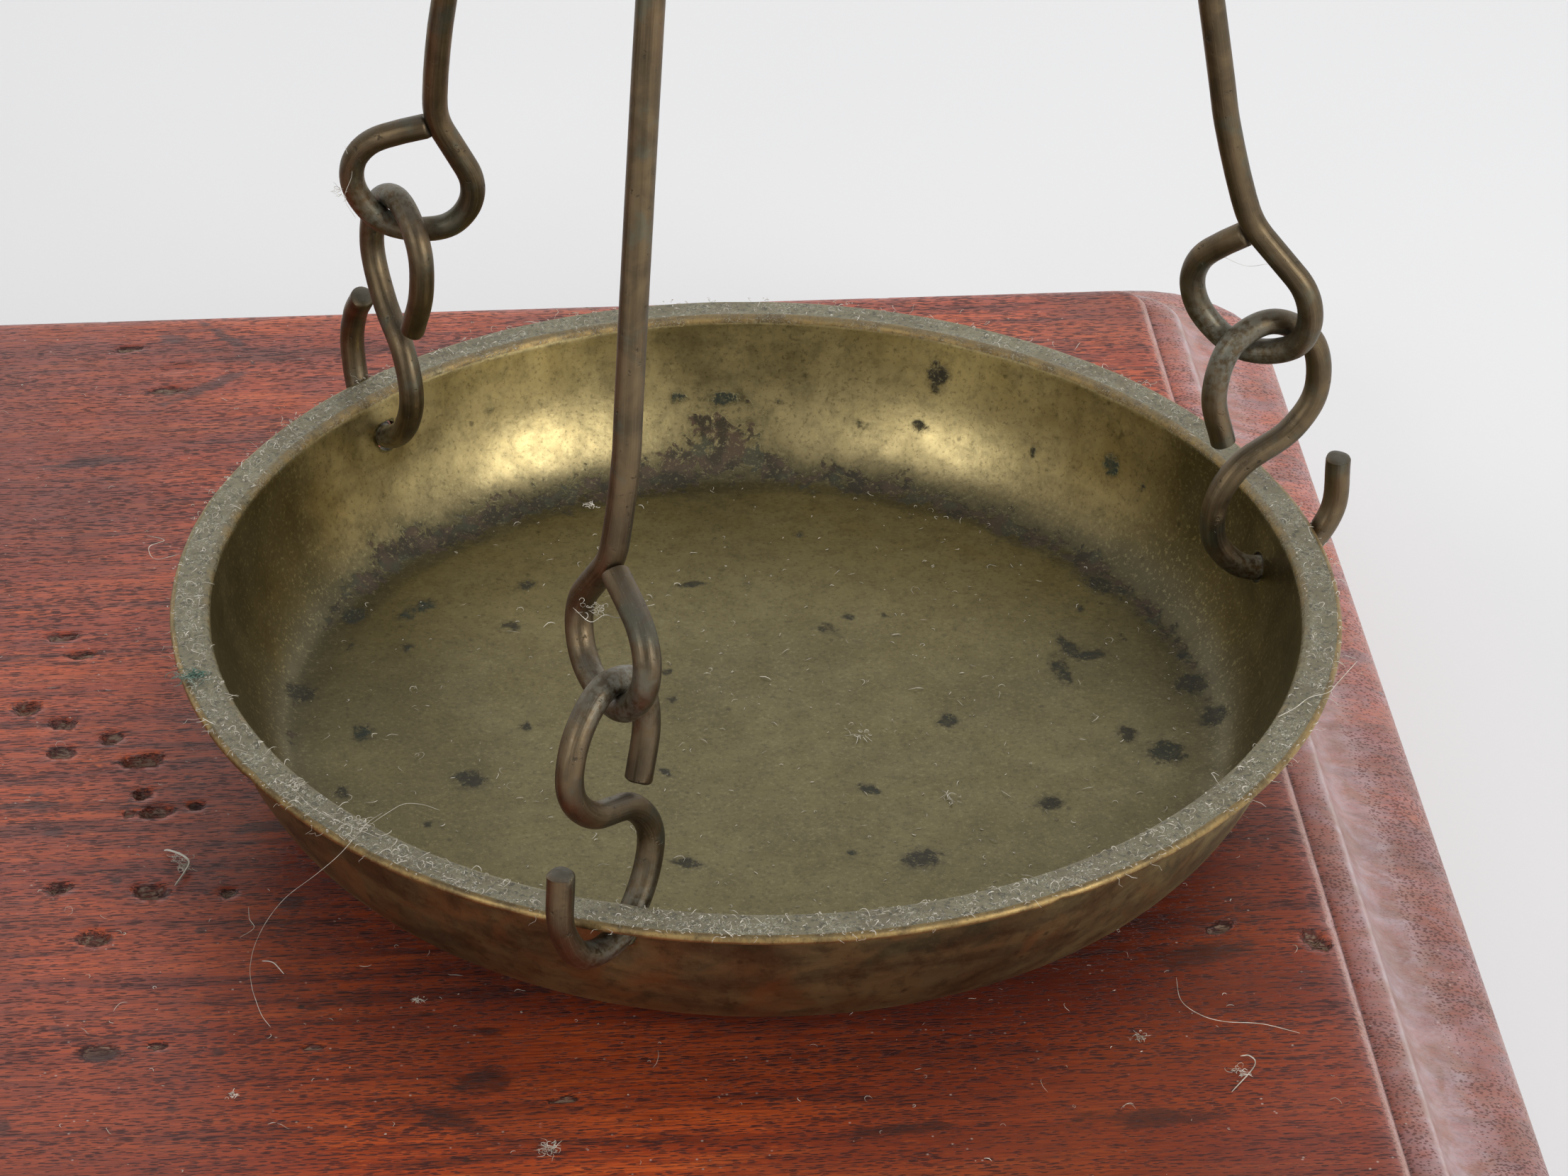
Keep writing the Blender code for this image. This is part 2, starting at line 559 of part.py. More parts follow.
def pan_hook_path(strand):
    """Centre line of one S-shaped hook, from the end in its upper loop to the end outside the pan."""
    flat = arc(HOOK_UPPER["centre"], HOOK_UPPER["radii"], HOOK_UPPER["sweep"], HOOK_UPPER["steps"])
    flat += arc(HOOK_LOWER["centre"], HOOK_LOWER["radii"], HOOK_LOWER["sweep"], HOOK_LOWER["steps"])
    azimuth = math.radians(strand["azimuth"])
    foot = Vector((HOOK_FOOT_RADIUS * math.cos(azimuth), HOOK_FOOT_RADIUS * math.sin(azimuth), HOOK_FOOT_HEIGHT))
    facing = Matrix.Rotation(math.radians(strand["hook_turn"]), 3, "Z")
    lean = Matrix.Rotation(math.radians(-strand["hook_lean"]), 3, "X")
    turn = facing @ lean @ Matrix.Rotation(math.radians(-HOOK_TILT), 3, "Y")
    return smooth_path([foot + turn @ Vector((u, 0.0, v)) for u, v in flat], 1)


def rod_path(strand, hook):
    """Centre line of one rod: eye on the hook below, straight shank, eye on the ring above."""
    crown = max(hook[:12], key=lambda p: p.z)
    low = crown - Vector((0.0, 0.0, HOOK_LINK))
    seat = strand["seat"]
    ring_drop = math.sqrt(RING_RADIUS ** 2 - seat ** 2)
    high = Vector((0.0, seat, RING_BOTTOM + RING_RADIUS - ring_drop))
    along = (high - low).normalized()
    high += along * LINK * RING_RADIUS / ring_drop
    lower = eye_points(low, along, strand["eye_turn"], strand["eye_side"])
    upper = eye_points(high, -along, 0.0, 1)
    shank = [lower[-1].lerp(upper[-1], t) for t in (0.33, 0.67)]
    return lower + shank + list(reversed(upper))


def eye_points(end, towards, turn, side):
    """Teardrop eye at a rod's end, facing the given way."""
    angle = math.radians(turn)
    across = Vector((math.cos(angle), math.sin(angle), 0.0))
    across = (across - towards * across.dot(towards)).normalized()
    points = [end + across * (side * u) + towards * v for u, v in EYE]
    return points + [end + towards * EYE_LENGTH]


def pan_profile():
    """Sheet pan section as a closed run from the axis out over the rim and back."""
    lean = math.atan2(PAN_WALL_TOP - PAN_CORNER, PAN_DEPTH - PAN_SHEET)
    reach = PAN_KNUCKLE * math.tan((math.pi / 2 - lean) / 2)
    flat = PAN_CORNER - reach
    centre = (flat, -PAN_DEPTH + PAN_KNUCKLE)
    sweep = (-90.0, -math.degrees(lean))
    outer = arc(centre, (PAN_KNUCKLE, PAN_KNUCKLE), sweep, 5)
    inner = arc(centre, (PAN_KNUCKLE - PAN_SHEET,) * 2, sweep, 5)
    mid = ((outer[-1][0] + PAN_WALL_TOP) / 2, (outer[-1][1] - PAN_SHEET) / 2)
    rim = [(PAN_RIM_RADIUS - 0.3, -PAN_SHEET), (PAN_RIM_RADIUS, -0.7), (PAN_RIM_RADIUS, -0.3), (PAN_RIM_RADIUS - 0.3, 0.0),
           (PAN_WALL_TOP - PAN_SHEET + 0.2, 0.0), (PAN_WALL_TOP - PAN_SHEET, -0.5)]
    below = [(0.0, -PAN_DEPTH)] + outer + [mid, (PAN_WALL_TOP, -PAN_SHEET - 0.2), (PAN_WALL_TOP + 0.4, -PAN_SHEET)]
    above = [(mid[0] - PAN_SHEET, mid[1])] + list(reversed(inner)) + [(0.0, -PAN_DEPTH + PAN_SHEET)]
    return below + rim + above


def build_pan(side, name, rise, place, hinge, hooks):
    """Dished pan with a flat rim, drilled for the three hooks."""
    verts, faces = lathe(pan_profile(), PAN_SEGMENTS)
    verts = [place(x, y, z) for x, y, z in verts]
    pan = add_piece(f"pan_{name}", verts, faces, BRASS, hinge, crease=50.0)
    holes = []
    for strand, hook in zip(STRANDS, hooks):
        low = min(hook, key=lambda p: p.z)
        azimuth = math.atan2(low.y, low.x)
        way = Vector((math.cos(azimuth), math.sin(azimuth), 0.0))
        start = Vector((low.x, low.y, low.z)) - way * 6.0
        end = Vector((low.x, low.y, low.z)) + way * 4.0
        holes.append(cylinder("hole", place(*start), place(*end), PAN_HOLE_RADIUS, 12))
    cut(pan, holes)


def build_hanger(side, name, rise):
    """Everything that hangs from one end of the beam."""
    build_stirrup(side, name, rise)
    build_hanger_hook(side, name, rise)
    build_ring(side, name, rise)
    place = hanger_frame(side, rise)
    hinge = (side * PAN_X, 0.0, RING_HINGE + rise)
    hooks = [pan_hook_path(strand) for strand in STRANDS]
    build_pan(side, name, rise, place, hinge, hooks)
    for strand, hook in zip(STRANDS, hooks):
        verts, faces = tube([place(*p) for p in hook], WIRE / 2)
        add_piece(f"pan_hook_{strand['name']}_{name}", verts, faces, DARK_BRASS, hinge)
        rod = rod_path(strand, hook)
        verts, faces = tube([place(*p) for p in rod], WIRE / 2)
        add_piece(f"rod_{strand['name']}_{name}", verts, faces, DARK_BRASS, hinge)


def main():
    """Build the whole scale."""
    clear_scene()
    build_base()
    build_feet()
    build_column_foot()
    seat = build_column()
    build_fork(seat)
    build_beam()
    build_tongue()
    build_hanger(1, "right", 0.0)
    build_hanger(-1, "left", LEFT_RISE)


main()
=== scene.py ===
"""Letter scale: finished base, column, beam, hangers and pans, seen close at the right pan."""
import math

import bmesh
import bpy
import numpy as np
from mathutils import Matrix, Vector


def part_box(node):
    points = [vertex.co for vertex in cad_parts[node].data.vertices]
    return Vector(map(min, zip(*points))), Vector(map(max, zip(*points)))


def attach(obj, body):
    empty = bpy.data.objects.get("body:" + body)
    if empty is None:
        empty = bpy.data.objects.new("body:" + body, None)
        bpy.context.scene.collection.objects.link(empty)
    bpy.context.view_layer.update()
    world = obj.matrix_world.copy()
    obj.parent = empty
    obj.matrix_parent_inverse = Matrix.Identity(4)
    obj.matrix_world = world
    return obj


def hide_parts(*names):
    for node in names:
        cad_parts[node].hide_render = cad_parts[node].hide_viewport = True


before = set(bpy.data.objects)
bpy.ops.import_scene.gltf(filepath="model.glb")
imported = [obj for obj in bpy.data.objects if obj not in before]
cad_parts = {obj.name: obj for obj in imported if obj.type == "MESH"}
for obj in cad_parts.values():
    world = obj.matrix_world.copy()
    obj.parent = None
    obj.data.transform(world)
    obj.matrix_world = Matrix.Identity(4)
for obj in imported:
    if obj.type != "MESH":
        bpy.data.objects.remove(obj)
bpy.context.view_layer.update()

# Lengths are millimetres in the frame's own axes; MM turns them into metres.
MM = 0.001
UP = np.array([0.0, 0.0, 1.0])


# ---------------------------------------------------------------- places from the frame

def box_mm(node):
    """Lowest and highest corner of a CAD node, in millimetres."""
    low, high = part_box(node)
    return np.array(low) / MM, np.array(high) / MM


def middle(node):
    """Centre of a CAD node's box, in millimetres."""
    low, high = box_mm(node)
    return (low + high) / 2


BOARD_HIGH = box_mm("base_board")[1]
BOARD_TOP = BOARD_HIGH[2]
REST_TILT = math.radians(5.0)
ARM = 115.0
# The beam turns on the lower edge of its centre knife
PIVOT_HEIGHT = box_mm("beam_knife_centre")[0][2]


def pan_centre(side):
    """Centre of a pan's rim."""
    low, high = box_mm("pan_" + side)
    return np.array([(low[0] + high[0]) / 2, (low[1] + high[1]) / 2, high[2]])


PAN_CENTRE = {side: pan_centre(side) for side in ("right", "left")}
MIRROR = {"right": 1.0, "left": -1.0}


def place(points, side):
    """From places measured from the right pan's rim centre to the frame; the left side is its mirror."""
    points = np.asarray(points, float) * np.array([MIRROR[side], 1.0, 1.0])
    return points + PAN_CENTRE[side]


# ---------------------------------------------------------------- noise

def value_noise(points, size, seed):
    """Smooth noise from -1 to 1 whose features are about size across."""
    scaled = np.asarray(points, float) / size + 64.37 * (seed + 1)
    cell = np.floor(scaled).astype(np.int64)
    part = scaled - cell
    part = part * part * (3.0 - 2.0 * part)
    table = np.random.default_rng(seed).uniform(-1.0, 1.0, 8192)
    total = np.zeros(len(scaled))
    for corner in range(8):
        step = np.array([corner & 1, corner >> 1 & 1, corner >> 2 & 1])
        spot = cell + step
        key = (spot[:, 0] * 73856093) ^ (spot[:, 1] * 19349663) ^ (spot[:, 2] * 83492791)
        share = np.prod(np.where(step, part, 1.0 - part), axis=1)
        total += share * table[key & 8191]
    return total


def cloud(points, size, seed, octaves=3):
    """Layered noise."""
    total = sum(value_noise(points, size / 2 ** k, seed + 17 * k) / 2 ** k for k in range(octaves))
    return total / (2.0 - 2.0 ** (1 - octaves))


def ease(value, low, high):
    """Smooth step from 0 at low to 1 at high."""
    t = np.clip((np.asarray(value, float) - low) / (high - low), 0.0, 1.0)
    return t * t * (3.0 - 2.0 * t)


# ---------------------------------------------------------------- mesh code

def finish_mesh(mesh, crease):
    """Outward normals and smooth shading with sharp edges above the crease angle."""
    work = bmesh.new()
    work.from_mesh(mesh)
    bmesh.ops.recalc_face_normals(work, faces=work.faces)
    work.to_mesh(mesh)
    work.free()
    mesh.polygons.foreach_set("use_smooth", [True] * len(mesh.polygons))
    mesh.set_sharp_from_angle(angle=math.radians(crease))


def new_object(name, verts, faces, crease, origin=(0.0, 0.0, 0.0), fields=None):
    """An object from points in millimetres, placed at its origin."""
    base = np.asarray(origin, float)
    mesh = bpy.data.meshes.new(name)
    mesh.from_pydata(((np.asarray(verts, float) - base) * MM).tolist(), [], faces)
    for field, values in (fields or {}).items():
        layer = mesh.attributes.new(field, "FLOAT", "POINT")
        layer.data.foreach_set("value", np.asarray(values, np.float32))
    finish_mesh(mesh, crease)
    item = bpy.data.objects.new(name, mesh)
    item.location = Vector(base * MM)
    bpy.context.scene.collection.objects.link(item)
    return item


def add_piece(name, verts, faces, look, body, stands_for=(), origin=(0.0, 0.0, 0.0), crease=38.0,
              fields=None):
    """One visual piece with its look, riding on a body."""
    piece = new_object(name, verts, faces, crease, origin, fields)
    piece.data.materials.append(look)
    settle(piece, body, stands_for)
    return piece


def settle(piece, body, stands_for=()):
    """Make a piece ride on its body and stand for its CAD nodes."""
    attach(piece, body)
    for node in stands_for:
        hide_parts(node)


def lathe(profile, segments, centre=(0.0, 0.0), ring=False):
    """Turn a profile of (radius, height) round a vertical axis."""
    angles = 2.0 * math.pi * np.arange(segments) / segments
    circle = np.stack([np.cos(angles), np.sin(angles)], axis=1)
    verts, rows, count = [], [], 0
    for radius, height in profile:
        if radius < 1e-6:
            verts.append(np.array([[centre[0], centre[1], height]]))
            rows.append(np.full(segments, count))
            count += 1
            continue
        flat = circle * radius + np.asarray(centre)
        verts.append(np.column_stack([flat, np.full(segments, height)]))
        rows.append(np.arange(count, count + segments))
        count += segments
    faces = []
    pairs = list(zip(rows, rows[1:]))
    if ring:
        pairs.append((rows[-1], rows[0]))
    for upper, lower in pairs:
        quads = np.stack([upper, np.roll(upper, -1), np.roll(lower, -1), lower], axis=1).tolist()
        if upper[0] == upper[1]:
            quads = [[a, c, d] for a, _, c, d in quads]
        elif lower[0] == lower[1]:
            quads = [[a, b, c] for a, b, c, _ in quads]
        faces += quads
    return np.vstack(verts), faces


def rounded(profile, radius, steps=4, closed=False):
    """Round the corners of a flat run of points."""
    points = [np.asarray(p, float) for p in profile]
    out = []
    for i, corner in enumerate(points):
        if not closed and i in (0, len(points) - 1):
            out.append(tuple(corner))
            continue
        before, after = points[i - 1] - corner, points[(i + 1) % len(points)] - corner
        reach_before, reach_after = np.linalg.norm(before), np.linalg.norm(after)
        reach = min(radius, 0.45 * reach_before, 0.45 * reach_after)
        start, end = corner + before / reach_before * reach, corner + after / reach_after * reach
        for k in range(steps + 1):
            t = k / steps
            out.append(tuple((1 - t) ** 2 * start + 2 * t * (1 - t) * corner + t * t * end))
    return out


def smooth_path(points, steps=6):
    """A smooth curve through the given points."""
    pts = np.asarray(points, float)
    pts = np.vstack([2 * pts[:1] - pts[1:2], pts, 2 * pts[-1:] - pts[-2:-1]])
    t = (np.arange(steps) / steps)[:, None]
    out = []
    for i in range(1, len(pts) - 2):
        a, b, c, d = pts[i - 1:i + 3]
        out.append(0.5 * (2 * b + (c - a) * t + (2 * a - 5 * b + 4 * c - d) * t ** 2
                          + (3 * b - 3 * c + d - a) * t ** 3))
    return np.vstack(out + [pts[-2:-1]])


def smooth_flat(points, steps):
    """A smooth curve through flat points, as a list."""
    return [tuple(p) for p in smooth_path(points, steps)]


def raised(height, profile):
    """A profile of (radius, height) moved up."""
    return [(radius, height + up) for radius, up in profile]


def opened(angles, around, reach):
    """How far round a circle of radius reach each direction lies from one of them, in degrees."""
    return reach * np.radians((angles - around + 180.0) % 360.0 - 180.0)


def arc(centre, radii, sweep, steps):
    """Points along an elliptical arc, in degrees."""
    angles = np.radians(np.linspace(sweep[0], sweep[1], steps))
    return np.stack([centre[0] + radii[0] * np.cos(angles), centre[1] + radii[1] * np.sin(angles)], axis=1)


def section_frames(path, closed=False):
    """Tangent and two cross directions at each point of a path, carried along without twist."""
    ahead = np.roll(path, -1, axis=0) if closed else np.vstack([path[1:], path[-1:]])
    behind = np.roll(path, 1, axis=0) if closed else np.vstack([path[:1], path[:-1]])
    tangents = ahead - behind
    tangents /= np.linalg.norm(tangents, axis=1)[:, None]
    normal = np.array([0.31, 0.87, 0.39])
    normals = []
    for tangent in tangents:
        normal = normal - tangent * (normal @ tangent)
        normal = normal / np.linalg.norm(normal)
        normals.append(normal)
    normals = np.array(normals)
    return tangents, normals, np.cross(tangents, normals)


# Each wire end narrows in four rings: (share of the radius, how far out, how much it is a cut face)
WIRE_END = ((0.93, 0.12, 0.2), (0.80, 0.23, 0.6), (0.58, 0.31, 1.0), (0.30, 0.36, 1.0))
WIRE_SIDES = 24


def wire(path, radius, seed, closed=False, unevenness=0.018, nips=4):
    """Drawn wire along a path, with an uneven section, small plier nips and rounded cut ends."""
    path = np.asarray(path, float)
    draws = np.random.default_rng(seed)
    tangents, normals, across = section_frames(path, closed)
    count, sides = len(path), WIRE_SIDES
    angles = 2.0 * math.pi * np.arange(sides) / sides
    spokes = np.cos(angles)[None, :, None] * normals[:, None, :]
    spokes = spokes + np.sin(angles)[None, :, None] * across[:, None, :]
    along = np.concatenate([[0.0], np.cumsum(np.linalg.norm(np.diff(path, axis=0), axis=1))])
    flat = (path[:, None, :] + spokes * radius).reshape(-1, 3)
    uneven = cloud(flat, 5.0, seed) + 0.5 * cloud(flat, 1.3, seed + 3)
    swell = 1.0 + unevenness * uneven.reshape(count, sides)
    for _ in range(nips):
        at = draws.uniform(0.05, 0.95) * along[-1]
        way = draws.uniform(0.0, 2.0 * math.pi)
        reach, depth = draws.uniform(0.35, 0.8), draws.uniform(0.05, 0.12)
        turn = np.abs((angles - way + math.pi) % (2.0 * math.pi) - math.pi)
        swell -= depth * np.exp(-((along - at) / reach) ** 2)[:, None] * np.exp(-(turn / 0.55) ** 2)[None, :]
    radii = radius * swell
    body = path[:, None, :] + spokes * radii[:, :, None]
    verts = [body.reshape(-1, 3)]
    faces = []

    def band(first, second):
        for s in range(sides):
            after = (s + 1) % sides
            faces.append((first + s, first + after, second + after, second + s))

    for i in range(count if closed else count - 1):
        band(i * sides, (i + 1) % count * sides)
    cut_end = [np.zeros(count * sides)]
    around = [np.tile(angles * radius, count)]
    run = [np.repeat(along, sides)]
    total = count * sides
    for end, sign in () if closed else ((0, -1.0), (count - 1, 1.0)):
        previous = end * sides
        for inset, reach, mark in WIRE_END:
            slope, ripple = np.cos(angles + seed), np.sin(3.0 * angles + 2.0 * seed)
            lift = reach + 0.12 * inset * slope + 0.05 * inset * ripple
            ring = path[end] + spokes[end] * (radii[end] * inset)[:, None] \
                + tangents[end] * (sign * lift * radius)[:, None]
            verts.append(ring)
            cut_end.append(np.full(sides, mark))
            around.append(angles * radius)
            run.append(np.full(sides, along[end]))
            band(previous, total)
            previous, total = total, total + sides
        verts.append((path[end] + tangents[end] * sign * 0.37 * radius)[None, :])
        cut_end.append(np.ones(1))
        around.append(np.zeros(1))
        run.append(np.full(1, along[end]))
        faces += [(previous + s, previous + (s + 1) % sides, total) for s in range(sides)]
        total += 1
    fields = {"cut_end": cut_end, "around": around, "along": run}
    return np.vstack(verts), faces, {name: np.concatenate(parts) for name, parts in fields.items()}


def prism(outline, start, end, to_place):
    """Extrude a flat outline; to_place(u, v, depth) gives each corner's place."""
    count = len(outline)
    verts = [to_place(u, v, start) for u, v in outline] + [to_place(u, v, end) for u, v in outline]
    faces = [list(range(count)), list(range(count, 2 * count))]
    faces += [[i, (i + 1) % count, (i + 1) % count + count, i + count] for i in range(count)]
    return np.array(verts), faces


def bevel(piece, width, segments=3, angle=30.0):
    """Soften a piece's edges."""
    step = piece.modifiers.new("edge", "BEVEL")
    step.width = width * MM
    step.segments = segments
    step.limit_method = "ANGLE"
    step.angle_limit = math.radians(angle)
    step.harden_normals = False


def cutter(verts, faces):
    """A helper solid in millimetres."""
    return new_object("helper", verts, [list(f) for f in faces], 40.0)


def rod_cutter(start, end, radius, segments=40):
    """A round helper solid between two points, in millimetres."""
    path = np.array([start, end], float)
    _, normals, across = section_frames(path)
    angles = 2.0 * math.pi * np.arange(segments) / segments
    ring = np.cos(angles)[:, None] * normals[0] + np.sin(angles)[:, None] * across[0]
    verts = np.vstack([path[0] + ring * radius, path[1] + ring * radius])
    faces = [[s, (s + 1) % segments, (s + 1) % segments + segments, s + segments] for s in range(segments)]
    faces += [list(range(segments)), list(range(segments, 2 * segments))]
    return cutter(verts, faces)


def carve(piece, helpers):
    """Cut helper solids out of a piece's mesh and discard them."""
    for helper in helpers:
        step = piece.modifiers.new("cut", "BOOLEAN")
        step.object = helper
        step.operation = "DIFFERENCE"
        step.solver = "EXACT"
    bpy.context.view_layer.update()
    graph = bpy.context.evaluated_depsgraph_get()
    carved = bpy.data.meshes.new_from_object(piece.evaluated_get(graph))
    piece.modifiers.clear()
    piece.data = carved
    for helper in helpers:
        bpy.data.objects.remove(helper, do_unlink=True)


# ---------------------------------------------------------------- material nodes

class Value:
    """A node's output, for sums, products, ranges and tints."""

    def __init__(self, look, socket):
        self.look = look
        self.socket = socket

    def __add__(self, other):
        return self.look.maths("ADD", self, other)

    def __sub__(self, other):
        return self.look.maths("SUBTRACT", self, other)

    def __rsub__(self, other):
        return self.look.maths("SUBTRACT", other, self)

    def __mul__(self, other):
        return self.look.maths("MULTIPLY", self, other)

    def most(self, other):
        """The higher of two values."""
        return self.look.maths("MAXIMUM", self, other)

    def span(self, low, high, to_low=0.0, to_high=1.0):
        """Smooth step from to_low at low to to_high at high."""
        node = self.look.add("ShaderNodeMapRange")
        node.interpolation_type = "SMOOTHSTEP"
        for index, number in enumerate((self, low, high, to_low, to_high)):
            self.look.feed(node.inputs[index], number)
        return Value(self.look, node.outputs[0])

    def tint(self, share, colour):
        """This colour with a share of another laid over it."""
        return self.look.mix(share, self, colour)


class Look:
    """A node material built up step by step, in object coordinates."""

    def __init__(self, name):
        self.material = bpy.data.materials.new(name)
        self.material.use_nodes = True
        self.tree = self.material.node_tree
        self.shader = self.tree.nodes["Principled BSDF"]
        self.place = Value(self, self.add("ShaderNodeTexCoord").outputs["Object"])

    def add(self, kind):
        return self.tree.nodes.new(kind)

    def feed(self, socket, value):
        """Link a value to a socket, or set the socket to a number or a colour."""
        if isinstance(value, Value):
            self.tree.links.new(value.socket, socket)
        elif socket.type == "RGBA":
            socket.default_value = (*value[:3], 1.0)
        else:
            socket.default_value = value

    def texture(self, kind, size, vector=None):
        """A texture whose features are size millimetres across: one number, or one for each axis."""
        node = self.add(kind)
        if isinstance(size, tuple):
            stretch = self.add("ShaderNodeMapping")
            self.feed(stretch.inputs["Vector"], self.place)
            stretch.inputs["Scale"].default_value = tuple(1.0 / (length * MM) for length in size)
            vector = Value(self, stretch.outputs[0])
        self.feed(node.inputs["Vector"], vector or self.place)
        node.inputs["Scale"].default_value = 1.0 if vector else 1.0 / (size * MM)
        return node

    def noise(self, size, detail=3.0, rough=0.5, warp=0.0, vector=None):
        node = self.texture("ShaderNodeTexNoise", size, vector)
        node.inputs["Detail"].default_value = detail
        node.inputs["Roughness"].default_value = rough
        node.inputs["Distortion"].default_value = warp
        return Value(self, node.outputs["Fac"])

    def cells(self, size):
        """Distance to the nearest of many scattered points."""
        return Value(self, self.texture("ShaderNodeTexVoronoi", size).outputs["Distance"])

    def ramp(self, value, stops):
        node = self.add("ShaderNodeValToRGB")
        self.feed(node.inputs[0], value)
        band = node.color_ramp
        while len(band.elements) < len(stops):
            band.elements.new(0.5)
        for element, (at, colour) in zip(band.elements, stops):
            element.position = at
            element.color = (*colour, 1.0)
        return Value(self, node.outputs[0])

    def maths(self, kind, first, second):
        node = self.add("ShaderNodeMath")
        node.operation = kind
        self.feed(node.inputs[0], first)
        self.feed(node.inputs[1], second)
        return Value(self, node.outputs[0])

    def mix(self, share, first, second):
        node = self.add("ShaderNodeMix")
        node.data_type = "RGBA"
        for index, value in ((0, share), (6, first), (7, second)):
            self.feed(node.inputs[index], value)
        return Value(self, node.outputs[2])

    def field(self, name):
        """A field stored on the mesh's points."""
        node = self.add("ShaderNodeAttribute")
        node.attribute_name = name
        return Value(self, node.outputs["Fac"])

    def surface(self, output):
        return Value(self, self.add("ShaderNodeNewGeometry").outputs[output])

    def facing_up(self):
        """How far the surface faces up, from its own normal."""
        node = self.add("ShaderNodeSeparateXYZ")
        self.feed(node.inputs[0], self.surface("Normal"))
        return Value(self, node.outputs[2])

    def bump(self, height, depth, before=None):
        """Bump whose full height is depth millimetres."""
        node = self.add("ShaderNodeBump")
        node.inputs["Strength"].default_value = 1.0
        node.inputs["Distance"].default_value = depth * MM
        self.feed(node.inputs["Height"], height)
        if before is not None:
            self.feed(node.inputs["Normal"], before)
        return Value(self, node.outputs[0])

    def done(self, colour, roughness, metallic=0.0, normal=None, **settings):
        self.feed(self.shader.inputs["Base Color"], colour)
        self.feed(self.shader.inputs["Roughness"], roughness)
        self.feed(self.shader.inputs["Metallic"], metallic)
        if normal is not None:
            self.feed(self.shader.inputs["Normal"], normal)
        for name, number in settings.items():
            self.feed(self.shader.inputs[name.replace("_", " ")], number)
        return self.material


